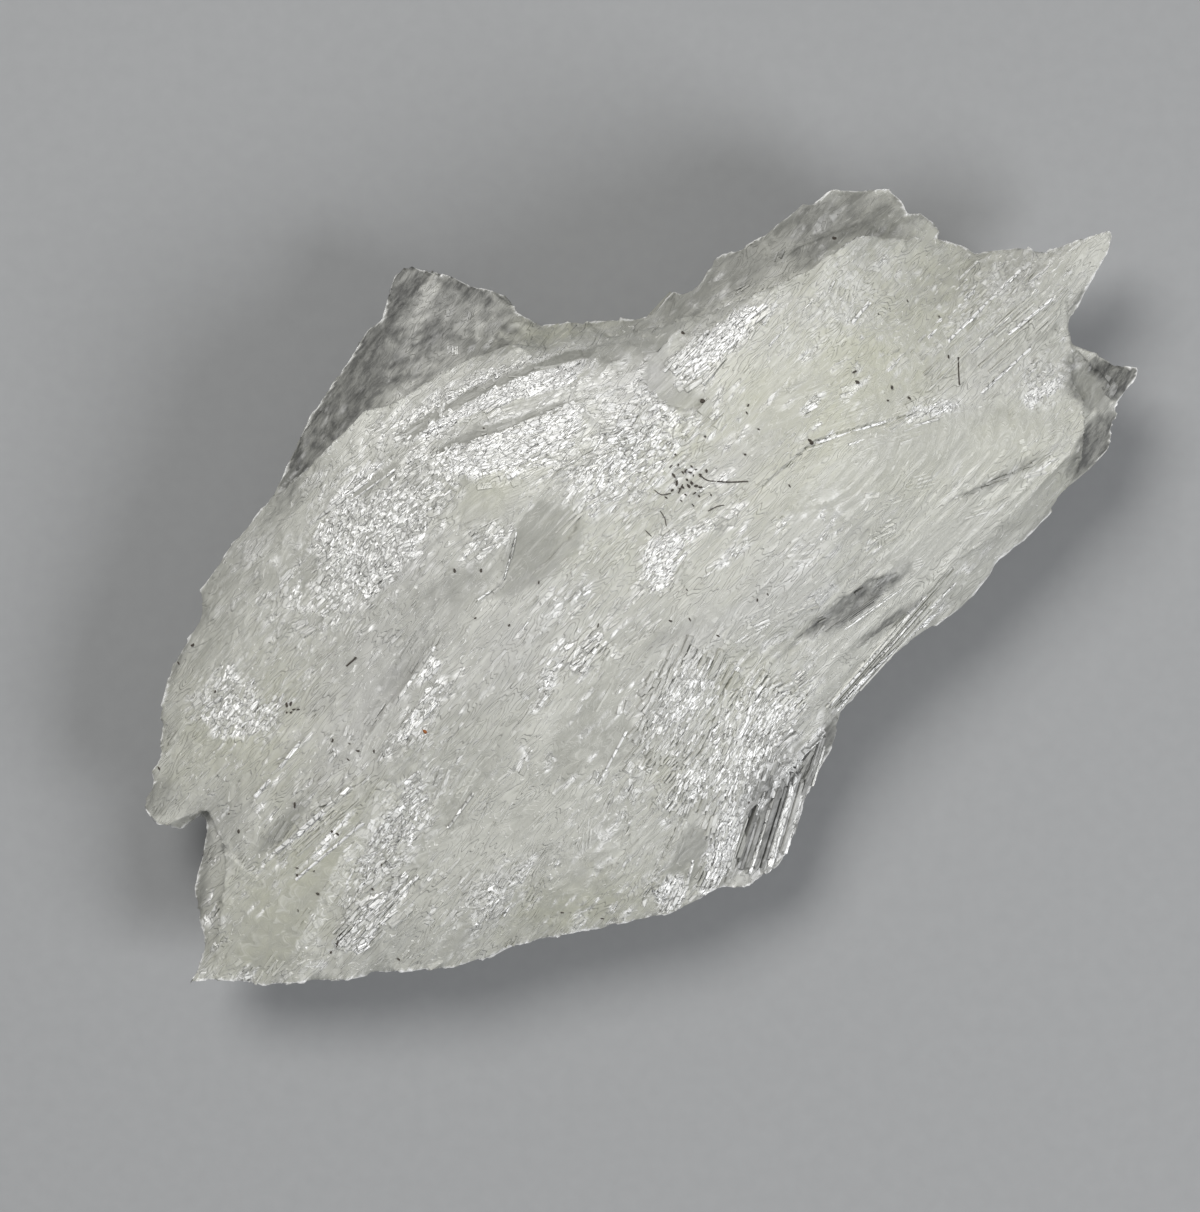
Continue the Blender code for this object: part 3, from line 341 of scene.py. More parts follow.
def chance(ix, iy, seed):
    """A fixed number from 0 to 1 for each whole-number cell, by an integer hash."""
    a = ix.astype(np.int64).astype(np.uint64)
    b = iy.astype(np.int64).astype(np.uint64)
    mask = np.uint64(0xFFFFFFFF)
    h = (a * np.uint64(374761393) + b * np.uint64(668265263) + np.uint64(seed * 69069 + 12345)) & mask
    h = ((h ^ (h >> np.uint64(13))) * np.uint64(1274126177)) & mask
    h = ((h ^ (h >> np.uint64(16))) * np.uint64(2246822519)) & mask
    return (h >> np.uint64(8)).astype(np.float64) / float(1 << 24)


def shade_noise(x, y, seed):
    """Even noise from 0 to 1 with a wavelength of one, over numpy arrays."""
    ix, iy = np.floor(x), np.floor(y)
    fx, fy = x - ix, y - iy
    fx, fy = fx * fx * (3 - 2 * fx), fy * fy * (3 - 2 * fy)
    low = chance(ix, iy, seed) * (1 - fx) + chance(ix + 1, iy, seed) * fx
    high = chance(ix, iy + 1, seed) * (1 - fx) + chance(ix + 1, iy + 1, seed) * fx
    return low * (1 - fy) + high * fy


def wobble(x, y, seed, size):
    """The same noise, from minus to plus half the size."""
    return (shade_noise(x, y, seed) - 0.5) * size


def nearest_faces(u, v, seed, height_of):
    """At each point, the height of the nearest face, where each cell of a jittered grid holds one face.

    height_of takes how far points are from the face's middle, along and across, and the face's three chances.
    """
    iu, iv = np.floor(u), np.floor(v)
    best, height = np.full(u.shape, np.inf), np.zeros(u.shape)
    for du, dv in itertools.product((-1, 0, 1), repeat=2):
        cu, cv = iu + du, iv + dv
        jitter_u, jitter_v, level, lean_u, lean_v = (chance(cu, cv, seed + k) for k in range(1, 6))
        off_u, off_v = u - (cu + jitter_u), v - (cv + jitter_v)
        far = off_u * off_u + off_v * off_v
        near = far < best
        height[near] = height_of(off_u, off_v, level, lean_u, lean_v)[near]
        best[near] = far[near]
    return height


def facets(u, v, seed, tilt_u=0.4, tilt_v=1.0):
    """Flat faces of random height and tilt, from about -1 to 1."""
    def height_of(off_u, off_v, level, lean_u, lean_v):
        tilted = (lean_u * 2 - 1) * tilt_u * off_u
        return (level * 2 - 1) * 0.6 + tilted + (lean_v * 2 - 1) * tilt_v * off_v

    return nearest_faces(u, v, seed, height_of)


def turned(x, y, cos, sin):
    """x and y along and across a heading, given by its cosine and sine."""
    return x * cos + y * sin, y * cos - x * sin


def within(x, y, low, high):
    """The numbers of the points that lie in a box."""
    return np.nonzero((x > low[0]) & (x < high[0]) & (y > low[1]) & (y < high[1]))[0]


def patch_mask(x, y, patches, soft=0.35, ragged=0.5, seed=50):
    """How far points lie in any of some elongated patches with ragged edges, from 0 to 1."""
    total = np.zeros(x.shape)
    for k, (px, py, length, width, turn, strength) in enumerate(patches):
        close = np.nonzero(np.hypot(x - px, y - py) < length * (0.6 + soft))[0]
        a = math.radians(turn)
        along, across = turned(x[close] - px, y[close] - py, math.cos(a), math.sin(a))
        u, v = along / (length / 2), across / (width / 2)
        edge = np.sqrt(u * u + v * v)
        edge += wobble(u * length, v * width * 1.6, seed + k, 1.2) * ragged
        edge += wobble(u * length * 2.3, v * width * 4, seed + k + 9, 0.5) * ragged
        inside = strength * np.clip((1 + soft - edge) / (2 * soft), 0, 1)
        total[close] = np.maximum(total[close], inside)
    return total


def glint_patches(x, y, **settings):
    """How far points lie in the glinting patches, always with the same edges' noise."""
    return patch_mask(x, y, GLINTS, seed=50, **settings)


def sheaf_coordinates(x, y, z):
    """The two nearest sheaves' own coordinates and headings at each point, and the share of the second."""
    near_x, near_y = x + wobble(x * 0.4, y * 0.4, 7, 3), y + wobble(x * 0.4, y * 0.4, 8, 3)
    far = np.hypot(near_x[:, None] - SHEAVES[None, :, 0], near_y[:, None] - SHEAVES[None, :, 1])
    order = np.argpartition(far, 1, axis=1)[:, :2]
    rows = np.arange(len(x))
    first, second = order[:, 0], order[:, 1]
    swap = far[rows, first] > far[rows, second]
    first[swap], second[swap] = second[swap], first[swap]
    gap = far[rows, second] - far[rows, first]
    share = 0.5 * np.clip(1 - gap / SEAM, 0, 1) ** 1.5
    made = []
    for sheaf in (first, second):
        heading = np.radians(SHEAVES[sheaf, 2])
        dx, dy = x - SHEAVES[sheaf, 0], y - SHEAVES[sheaf, 1]
        along, across = turned(dx, dy, np.cos(heading), np.sin(heading))
        along = along + RISE_ALONG * z + sheaf * SHEAF_ALONG
        across = across + RISE_ACROSS * z + sheaf * SHEAF_ACROSS
        made.append((along, across, heading))
    return *made, share


def blade_relief(u, v, rough):
    """The relief of a sheaf's blades at points along and across it, in mm."""
    v = v + wobble(u * 0.15, v * 0.5, 90, 0.3)
    total = 0
    for seed, (height, length, width, tilt_u, tilt_v, fades) in enumerate(BLADE_FACES, 11):
        layer = height * facets(u / length, v / width, seed, tilt_u, tilt_v)
        total = total + (layer * rough if fades else layer)
    return total + FIBRE_HEIGHT * (shade_noise(u / 1.6, v / 0.3, 14) - 0.5) * 2 * rough


def near_line(x, y, line):
    """How far points are from a line, on which side (1 on its left), and how far from its nearer end."""
    far, side, along = np.full(x.shape, np.inf), np.ones(x.shape), np.zeros(x.shape)
    walked = 0.0
    for start, end in zip(line[:-1], line[1:]):
        run = end - start
        length = math.hypot(*run)
        dx, dy = x - start[0], y - start[1]
        t = np.clip((dx * run[0] + dy * run[1]) / length ** 2, 0, 1)
        here = np.hypot(dx - t * run[0], dy - t * run[1])
        nearer = here < far
        far[nearer] = here[nearer]
        side[nearer] = np.sign(run[0] * dy - run[1] * dx)[nearer]
        along[nearer] = (walked + t * length)[nearer]
        walked += length
    return far, side, np.minimum(along, walked - along)


def pane_mask(x, y, corners):
    """1 inside an outline and 0 outside, with an edge PANE_EDGE wide."""
    loop = np.array([*corners, corners[0]])
    mask = np.zeros(x.shape)
    close = within(x, y, loop.min(axis=0) - 1, loop.max(axis=0) + 1)
    cx, cy = (p[close] + wobble(x[close] * 1.7, y[close] * 1.7, seed, 0.25) for p, seed in ((x, 35), (y, 36)))
    far, _, _ = near_line(cx, cy, loop)
    inside = np.zeros(cx.shape, dtype=bool)
    for (ax, ay), (bx, by) in zip(loop[:-1], loop[1:]):
        spans = (ay > cy) != (by > cy)
        reach = (bx - ax) * (cy - ay) / (by - ay if by != ay else 1) + ax
        inside ^= spans & (cx < reach)
    mask[close] = np.clip(0.5 + np.where(inside, far, -far) / PANE_EDGE, 0, 1)
    return mask


def ledges(x, y):
    """How far the ledges lift points, in mm, their painted foot shade, and how close the nearest ledge is."""
    lift, dark, near = np.zeros(x.shape), np.zeros(x.shape), np.full(x.shape, np.inf)
    reach = 4 * LEDGE_LOW
    for points, step, shade in LEDGES:
        line = np.array(points)
        close = within(x, y, line.min(axis=0) - reach, line.max(axis=0) + reach)
        cx, cy = x[close], y[close]
        cx = cx + wobble(cx * 1.1, cy * 1.1, 31, 0.16) + wobble(cx * 4, cy * 4, 33, 0.1)
        cy = cy + wobble(cx * 1.1, cy * 1.1, 32, 0.16)
        far, side, inward = near_line(cx, cy, line)
        fade = np.clip(inward, 0, 1)
        rise = np.where(side > 0, 0.3 * np.exp(-far / LEDGE_HIGH), -0.7 * np.exp(-far / LEDGE_LOW))
        lift[close] += step * fade * rise
        # Painted shade at the ledge's foot, stronger on its low side.
        foot = 0.6 * shade * fade * np.exp(-(far / CREASE_SHADE_WIDTH) ** 2) * np.where(side > 0, 0.4, 1.0)
        dark[close] = np.maximum(dark[close], foot)
        near[close] = np.minimum(near[close], np.where(fade > 0, far, np.inf))
    return lift, dark, near


def new_piece(name, data):
    """A new object in the scene."""
    piece = bpy.data.objects.new(name, data)
    bpy.context.scene.collection.objects.link(piece)
    return piece


def evaluated_mesh(piece):
    """A new mesh of a piece with its modifiers applied."""
    graph = bpy.context.evaluated_depsgraph_get()
    return bpy.data.meshes.new_from_object(piece.evaluated_get(graph))


def grain_mesh(node, name):
    """A copy of a node, rebuilt in small cells that are longer along the grain than across it."""
    warp = Matrix.Diagonal((1, STRETCH, 1, 1)) @ Matrix.Rotation(-math.radians(GRAIN), 4, "Z")
    piece = new_piece(name, node.data.copy())
    piece.data.transform(warp)
    remesh = piece.modifiers.new("cells", "REMESH")
    remesh.mode = "VOXEL"
    remesh.voxel_size = CELL * MM
    mesh = evaluated_mesh(piece)
    piece.modifiers.clear()
    piece.data = mesh
    mesh.transform(warp.inverted())
    mesh.update()
    return piece


def settle_face(mesh):
    """Evens out the height of the broad faces, so that what breaks them up is only their own relief."""
    points, normals = vertex_arrays(mesh)
    edges = np.empty(len(mesh.edges) * 2, dtype=np.int64)
    mesh.edges.foreach_get("vertices", edges)
    first, second = edges.reshape(-1, 2).T
    degree = np.bincount(edges, minlength=len(points))

    def evened(z, give, times):
        for _ in range(times):
            total = np.bincount(first, z[second], len(z)) + np.bincount(second, z[first], len(z))
            z = z + give * (total / degree - z)
        return z

    z = points[:, 2]
    low = np.clip((STEP_KEPT - np.abs(z - evened(z, EVENING, 10))) * 4, 0, 1)
    broad = np.clip((np.abs(normals[:, 2]) - 0.35) * 5, 0, 1)
    points[:, 2] = evened(z, EVENING * low * broad, EVENINGS)
    mesh.vertices.foreach_set("co", (points * MM).ravel())
    mesh.update()


def halve_cells(mesh):
    """Divides the front's cells in the glinting patches and along the ledges."""
    centres, normals = np.empty(len(mesh.polygons) * 3), np.empty(len(mesh.polygons) * 3)
    mesh.polygons.foreach_get("center", centres)
    mesh.polygons.foreach_get("normal", normals)
    x, y, _ = centres.reshape(-1, 3).T / MM
    front = normals.reshape(-1, 3)[:, 2] > 0.2
    fine = front & ((glint_patches(x, y, ragged=0.9) > FINE_GLINT) | (ledges(x, y)[2] < FINE_REACH))
    bm = bmesh.new()
    bm.from_mesh(mesh)
    bm.faces.ensure_lookup_table()
    edges = {edge for face, wanted in zip(bm.faces, fine) if wanted for edge in face.edges}
    bmesh.ops.subdivide_edges(bm, edges=list(edges), cuts=1, use_grid_fill=True)
    bm.to_mesh(mesh)
    bm.free()


def vertex_arrays(mesh):
    """The places of a mesh's vertices in mm, and their normals."""
    count = len(mesh.vertices)
    points, normals = np.empty(count * 3), np.empty(count * 3)
    mesh.vertices.foreach_get("co", points)
    mesh.vertices.foreach_get("normal", normals)
    return points.reshape(-1, 3) / MM, normals.reshape(-1, 3)


def set_attribute(mesh, name, values, kind="FLOAT"):
    attribute = mesh.attributes.new(name, kind, "POINT")
    key = "value" if kind == "FLOAT" else "vector"
    attribute.data.foreach_set(key, np.ascontiguousarray(values, dtype=np.float32).ravel())


def veins(x, y):
    """Veins and wisps of cloudy crystal through the clear parts, each from 0 to 1."""
    turn = math.radians(VEIN_HEADING)
    along, across = turned(x, y, math.cos(turn), math.sin(turn))
    along, across = along + wobble(x / 2.1, y / 2.1, 95, 2.6), across + wobble(x / 2.1, y / 2.1, 96, 2.2)
    wide = 1 - np.abs(2 * shade_noise(along / 2.2, across / 0.8, 97) - 1)
    fine = 1 - np.abs(2 * shade_noise(along / 0.8, across / 0.25, 98) - 1)
    cloud = shade_noise(x / 2.8, y / 2.8, 99)
    wisps = patch_mask(x, y, WISPS, soft=0.6, ragged=1.3, seed=230)
    return np.clip(wide ** 4 + 0.7 * fine ** 5, 0, 1) * (0.2 + 0.8 * cloud), wisps * (0.35 + 0.65 * fine)


def flecks(x, y):
    """Small glints strewn over the whole face along the grain, from 0 to 0.8."""
    turn = math.radians(GRAIN)
    along, across = turned(x, y, math.cos(turn), math.sin(turn))
    thick = np.clip(2.4 * shade_noise(x / 4, y / 4, 67) - 0.6, 0, 1)
    return 0.8 * thick * np.clip((shade_noise(along / 0.9, across / 0.35, 66) - 0.70) * 8, 0, 1)


def looks_at(points, front):
    """How much each look holds at points. front is 1 on the front and 0 on the back."""
    x, y, z = points.T
    back_glint = np.clip((shade_noise(x / 5 + y / 9, y / 3 - x / 7, 61) - 0.62) * 6, 0, 1) * (1 - front)
    back_clear = np.clip((shade_noise(x / 6, y / 6, 62) - 0.66) * 5, 0, 1) * (1 - front) * 0.5
    vein, wisp = veins(x, y)
    flange = patch_mask(x, y, FLANGES, soft=0.2, ragged=0.3, seed=210) * np.clip(FLANGE_TOP - z, 0, 1)
    clear = np.maximum(patch_mask(x, y, CLEAR, ragged=0.45, seed=110), flange * (1 - 0.9 * wisp))
    looks = {
        "glint": np.maximum(glint_patches(x, y, soft=0.5, ragged=1.3), flecks(x, y)),
        "smooth_skin": patch_mask(x, y, SMOOTH, ragged=0.5, seed=80),
        "clear": clear * (1 - 0.55 * vein),
        "tone_shift_and_painted_glint": np.zeros(len(x)),
        "flange": flange,
        "cream": patch_mask(x, y, CREAM, soft=0.9, ragged=0.9, seed=140),
        "lilac": patch_mask(x, y, LILAC, soft=0.9, ragged=0.9, seed=170),
    }
    for corners, *values in PANES:
        mask = pane_mask(x, y, corners) * front
        for key, value in zip(("glint", "smooth_skin", "clear", "tone_shift_and_painted_glint"), values):
            looks[key] = looks[key] * (1 - mask) + value * mask
    looks["glint"] = np.maximum(looks["glint"] * front, back_glint)
    looks["smooth_skin"] = looks["smooth_skin"] * front
    looks["clear"] = np.maximum(looks["clear"], back_clear)
    return looks


def nearer_bright(normals):
    """Of the two BRIGHT directions, the one nearer each normal. Normals of the back look at them mirrored."""
    sides = np.where(normals[:, 2] < 0, -1.0, 1.0)[:, None]
    choices = [way * np.concatenate([np.ones((len(normals), 2)), sides], axis=1) for way in BRIGHT]
    near = [np.einsum("ij,ij->i", choice, normals) for choice in choices]
    return np.where((near[0] > near[1])[:, None], choices[0], choices[1])


def terraces(u, v, heading, normals, seed):
    """The height in mm, over a face, of small planes that mostly lie one of the two BRIGHT ways."""
    aim = nearer_bright(normals)
    flat = np.maximum(np.abs(normals[:, 2]), 0.3)[:, None]
    slope = -aim[:, :2] / np.abs(aim[:, 2:]) + normals[:, :2] / flat
    slope = slope / np.maximum(np.linalg.norm(slope, axis=1) / TERRACE, 1)[:, None]
    slope_u, slope_v = turned(slope[:, 0], slope[:, 1], np.cos(heading), np.sin(heading))

    def height_of(off_u, off_v, level, lean_u, lean_v):
        lean_u, lean_v = slope_u + 0.16 * (lean_u - 0.5), slope_v + 0.16 * (lean_v - 0.5)
        return 0.03 * (level - 0.5) + lean_u * off_u * PLANE_LENGTH + lean_v * off_v * PLANE_WIDTH

    return nearest_faces(u / PLANE_LENGTH, v / PLANE_WIDTH, seed, height_of)


def level_of(normals):
    """How far normals lie level, from 0 for straight up or down to 1."""
    return np.hypot(normals[:, 0], normals[:, 1])


def on_rim(points, normals, solid):
    """1 at the outline seen from above, where the thin crystal lights up with a painted highlight, else 0."""
    tree = BVHTree.FromPolygons([v.co for v in solid.vertices], [tuple(f.vertices) for f in solid.polygons])
    level = level_of(normals)
    out = points[:, :2] + RIM * normals[:, :2] / np.maximum(level, 1e-6)[:, None]
    rim_highlight = np.zeros(len(points))
    for k in np.nonzero((level > 0.35) & (normals[:, 2] > 0.12))[0]:
        above = Vector((out[k, 0], out[k, 1], HIGHEST[2] + 1)) * MM
        rim_highlight[k] = tree.ray_cast(above, Vector((0, 0, -1)))[0] is None
    return rim_highlight


def dress_mass(piece, solid):
    """Gives the mass its relief, and records on its points what the material needs to know there."""
    mesh = piece.data
    points, normals = vertex_arrays(mesh)
    x, y, z = points.T
    upright = np.abs(normals[:, 2])
    walls = 1 - np.clip(1.6 * upright - 0.5, 0, 1)
    (u1, v1, heading), (u2, v2, _), share = sheaf_coordinates(x, y, z * walls)
    front = np.clip((normals[:, 2] + 0.2) / 0.5, 0, 1)
    looks = looks_at(points, front)
    calm = np.maximum(0.9 * looks["smooth_skin"], np.clip(1.4 * looks["clear"], 0, 0.95))
    rough = 1 - calm
    relief = blade_relief(u1, v1, rough) * (1 - share) + blade_relief(u2, v2, rough) * share
    broken = np.clip(looks["glint"] * 1.3, 0, 1) * np.clip(2 * upright - 0.4, 0, 1)
    planes = terraces(u1, v1, heading, normals, 21)
    lift, dark, _ = ledges(x, y)
    relief = relief * (1 - 0.7 * calm) * (1 - 0.7 * broken) + planes * broken + lift * front
    rest = np.clip((z - REST_LOW) / REST_FADE, 0, 1)
    jag = JAG_HEIGHT * facets((x + y) / JAG_SIZE, (x - y) / JAG_SIZE + z / 3, 24, 0.6, 0.6)
    jag = jag * np.clip(2.5 * level_of(normals) - 1.2, 0, 1)
    points += normals * ((relief + jag) * rest - INSET)[:, None]
    points = np.clip(points, LOWEST + INSIDE, HIGHEST - INSIDE)
    mesh.vertices.foreach_set("co", (points * MM).ravel())
    mesh.update()
    # The rim gets a painted highlight: white tone, a glint and no clear dark.
    rim_highlight = on_rim(points, normals, solid)
    flatness = np.clip(1.8 * upright - 0.25, 0.1, 1)
    looks["clear"] = looks["clear"] * (1 - rim_highlight) * flatness
    looks["glint"] = np.maximum(looks["glint"] * flatness, 0.6 * rim_highlight)
    for name in LOOKS:
        set_attribute(mesh, name, looks[name])
    # Painted shade at the ledges' feet.
    set_attribute(mesh, "crease", dark * front)
    set_attribute(mesh, "aim", nearer_bright(normals), "FLOAT_VECTOR")
    tone = 0.5 + 0.4 * facets(u1 / 8, v1 / 1.8, 41, 0, 0) + 0.16 * facets(u1 / 1.6, v1 / 0.6, 42, 0, 0)
    tone = 0.5 + (tone - 0.5) * (1 - 0.8 * np.maximum(looks["clear"], looks["flange"]))
    # Glinting panes are painted lighter, towards white, as a painted glint; darker panes shift the tone.
    tone = tone - 0.3 * looks["smooth_skin"] + looks["tone_shift_and_painted_glint"]
    tone += 0.16 * (chance(np.floor(x * 9), np.floor(y * 9), 43) - 0.5)
    # painted rim highlight
    set_attribute(mesh, "tone", np.clip(np.maximum(tone, PALEST * rim_highlight), 0, PALEST))
    set_attribute(mesh, "grain", np.stack([u1, v1, z], axis=1), "FLOAT_VECTOR")
    mesh.polygons.foreach_set("use_smooth", np.ones(len(mesh.polygons), dtype=bool))
    return points, normals


def thin_back(piece, normals):
    """Joins small faces of the back, which needs fewer than the front does."""
    group = piece.vertex_groups.new(name="back")
    group.add(np.nonzero(normals[:, 2] < -0.2)[0].tolist(), 1.0, "REPLACE")
    thin = piece.modifiers.new("thin", "DECIMATE")
    thin.ratio = FACES_KEPT
    thin.vertex_group = group.name
    mesh = evaluated_mesh(piece)
    piece.modifiers.clear()
    piece.vertex_groups.clear()
    mesh.polygons.foreach_set("use_smooth", np.ones(len(mesh.polygons), dtype=bool))
    piece.data = mesh


class Ground:
    """The height of the mass's front (side 1) or back (side -1) over a grid, for what lies on it."""

    SPACING = 0.3           # mm, from one place of the grid to the next

    def __init__(self, points, normals, side):
        self.side = side
        self.low = LOWEST[:2] - 1
        size = np.ceil((HIGHEST[:2] + 1 - self.low) / self.SPACING).astype(int)
        facing = normals[:, 2] * side > 0.15
        cells = ((points[facing, :2] - self.low) / self.SPACING).astype(int)
        total, count = np.zeros(size), np.zeros(size)
        np.add.at(total, (cells[:, 0], cells[:, 1]), points[facing, 2])
        np.add.at(count, (cells[:, 0], cells[:, 1]), 1)
        self.known = self.spread(count > 0) >= 4
        weight = (count > 0).astype(float)
        height = np.where(count > 0, total / np.maximum(count, 1), 0)
        self.height = self.spread(height * weight) / np.maximum(self.spread(weight), 1)
        self.slope = np.gradient(self.height, self.SPACING)

    @staticmethod
    def spread(grid):
        """The sum over each cell and its eight neighbours."""
        return sum(np.roll(grid, (i, j), axis=(0, 1)) for i in (-1, 0, 1) for j in (-1, 0, 1))

    def at(self, x, y):
        """The height at points, and whether the face has ground there."""
        u, v = (x - self.low[0]) / self.SPACING - 0.5, (y - self.low[1]) / self.SPACING - 0.5
        i = np.clip(np.floor(u).astype(int), 0, self.height.shape[0] - 2)
        j = np.clip(np.floor(v).astype(int), 0, self.height.shape[1] - 2)
        fu, fv = np.clip(u - i, 0, 1), np.clip(v - j, 0, 1)
        low = self.height[i, j] * (1 - fu) + self.height[i + 1, j] * fu
        high = self.height[i, j + 1] * (1 - fu) + self.height[i + 1, j + 1] * fu
        known = self.known[i, j] & self.known[i + 1, j] & self.known[i, j + 1] & self.known[i + 1, j + 1]
        return low * (1 - fv) + high * fv, known

    def over(self, x, y, lift):
        """The place, in metres, that is lifted by some mm over the ground at one x and y."""
        z = self.at(np.array([x]), np.array([y]))[0][0]
        return Vector((x, y, z + lift)) * MM

    def up(self, x, y):
        """The outward direction at points."""
        i = np.clip(((x - self.low[0]) / self.SPACING).astype(int), 0, self.height.shape[0] - 1)
        j = np.clip(((y - self.low[1]) / self.SPACING).astype(int), 0, self.height.shape[1] - 1)
        out = np.stack([-self.slope[0][i, j], -self.slope[1][i, j], np.ones(x.shape)], axis=1) * self.side
        return out / np.linalg.norm(out, axis=1)[:, None]


def unit(vectors):
    """The vectors, each at length one."""
    return vectors / np.maximum(np.linalg.norm(vectors, axis=1), 1e-9)[:, None]


def turned_bright(up, axis, share):
    """Outward directions of blades, turned about their axes towards BRIGHT where that is within reach."""
    bright = nearer_bright(up)
    bright = unit(bright - axis * np.einsum("ij,ij->i", bright, axis)[:, None])
    near = np.clip((np.einsum("ij,ij->i", bright, up) - 0.82) / 0.1, 0, 1)
    share = (share * near)[:, None]
    return unit(up * (1 - share) + bright * share)


def blade_piece(name, foot, tip, up, width, rise, depth, top_share, slant, lean, looks, tone):
    """Many blades in one mesh: each a slab on the ground from foot to tip, narrower at its top. All in mm."""
    axis = unit(tip - foot)
    side = unit(np.cross(axis, up))
    up = np.cross(side, axis)
    half = (width / 2)[:, None]
    top, bottom = up * rise[:, None], up * -depth[:, None]
    cut = axis * (slant * np.minimum(np.linalg.norm(tip - foot, axis=1), 4 * width))[:, None]
    shift = side * half * lean[:, None]
    narrow = half * top_share[:, None]
    corners = np.stack([
        foot - side * half + bottom, foot + side * half + bottom,
        tip + side * half + bottom, tip - side * half + bottom,
        foot - side * narrow + shift + top + cut, foot + side * narrow + shift + top + cut,
        tip + side * narrow + shift + top - cut, tip - side * narrow + shift + top - cut,
    ], axis=1)
    count, each = len(foot), corners.shape[1]

    def per_corner(values):
        return np.repeat(values, each, axis=0)

    points = np.clip(corners.reshape(-1, 3), LOWEST + INSIDE, HIGHEST - INSIDE)
    slab = np.array([(3, 2, 1, 0), (4, 5, 6, 7), (0, 1, 5, 4), (1, 2, 6, 5), (2, 3, 7, 6), (3, 0, 4, 7)])
    faces = (slab[None] + each * np.arange(count)[:, None, None]).reshape(-1, 4)
    mesh = bpy.data.meshes.new(name)
    mesh.from_pydata((points * MM).tolist(), [], faces.tolist())
    for key in LOOKS:
        set_attribute(mesh, key, per_corner(looks[key]))
    set_attribute(mesh, "tone", per_corner(tone))
    set_attribute(mesh, "crease", np.zeros(each * count))
    set_attribute(mesh, "aim", per_corner(nearer_bright(up)), "FLOAT_VECTOR")
    number, from_middle = per_corner(np.arange(count)), points - per_corner((foot + tip) / 2)
    u = np.einsum("ij,ij->i", from_middle, per_corner(axis)) + BLADE_ALONG * number
    v = np.einsum("ij,ij->i", from_middle, per_corner(side)) + BLADE_ACROSS * number
    set_attribute(mesh, "grain", np.stack([u, v, points[:, 2]], axis=1), "FLOAT_VECTOR")
    return new_piece(name, mesh)


def scatter_blades(name, ground, points, weights, count, seed, bundle, length, width, rise, tilt, turn, pitch,
                   shine, flat):
    """Bundles of side-by-side blades scattered over one face along the local grain.

    count is how many bundles. bundle, length, width and rise are (least, most), the last three in mm. tilt,
    turn and pitch are in degrees. shine is how far the brightest turn towards BRIGHT, and how few of them do.
    flat is how wide their tops are, next to their feet.
    """
    rng = np.random.default_rng(seed)
    spots = points[rng.choice(len(points), count, p=weights / weights.sum())]
    first, second, share = sheaf_coordinates(*spots.T)
    heading = np.where(rng.random(count) < share, second[2], first[2])
    heading = heading + np.radians(rng.normal(0, turn, count))
    skew = rng.random(count) ** 2
    rolls, climbs = rng.normal(0, tilt, count), rng.normal(0, pitch, count)
    gleam, breadth = shine[0] * rng.random(count) ** shine[1], rng.uniform(*width, count) * (0.6 + 0.8 * skew)
    members = rng.integers(bundle[0], bundle[1] + 1, count)
    owner = np.repeat(np.arange(count), members)
    number = len(owner)
    rank = np.arange(number) - np.repeat(np.cumsum(members) - members, members) - (members[owner] - 1) / 2
    heading = heading[owner] + np.radians(rng.normal(0, 1.5, number))
    half = (length[0] + (length[1] - length[0]) * skew[owner]) / 2 * rng.uniform(0.6, 1.1, number)
    slip, across = rng.normal(0, 0.3, number) * half, rank * BLADE_GAP * breadth[owner]
    x = spots[owner, 0] + slip * np.cos(heading) - across * np.sin(heading)
    y = spots[owner, 1] + slip * np.sin(heading) + across * np.cos(heading)
    step_x, step_y = half * np.cos(heading), half * np.sin(heading)
    foot_z, foot_known = ground.at(x - step_x, y - step_y)
    tip_z, tip_known = ground.at(x + step_x, y + step_y)
    sag = np.abs(ground.at(x, y)[0] - (foot_z + tip_z) / 2)
    keep = foot_known & tip_known & (np.abs(foot_z - tip_z) < STEEPEST * half) & (sag < SAG)
    raised = half * np.tan(np.radians(climbs[owner])) * ground.side
    foot = np.stack([x - step_x, y - step_y, foot_z - raised], axis=1)[keep]
    tip = np.stack([x + step_x, y + step_y, tip_z + raised], axis=1)[keep]
    up, axis = ground.up(x, y)[keep], unit(tip - foot)
    roll = np.radians(rolls[owner] + rng.normal(0, 0.3 * tilt, number))[keep][:, None]
    up = up * np.cos(roll) + np.cross(axis, up) * np.sin(roll)
    up = turned_bright(up, axis, gleam[owner][keep])
    widths = (breadth[owner] * rng.uniform(0.7, 1.2, number))[keep]
    left = len(widths)
    rises = rng.uniform(*rise, left)
    looks = looks_at((foot + tip) / 2, np.full(left, float(ground.side > 0)))
    looks["glint"] = np.maximum(looks["glint"], gleam[owner][keep] * (0.4 + 0.6 * looks["glint"]))
    # The glinting panes' painted white carries over to the blades on them.
    tone = np.clip(0.55 + rng.normal(0, 0.2, left) + looks["tone_shift_and_painted_glint"], 0, PALEST)
    shares, slants, leans = (rng.uniform(*ends, left) for ends in (flat, (0.02, 0.2), (-0.2, 0.2)))
    depths = SUNK + SUNK_MORE * widths
    return blade_piece(name, foot, tip, up, widths, rises, depths, shares, slants, leans, looks, tone)


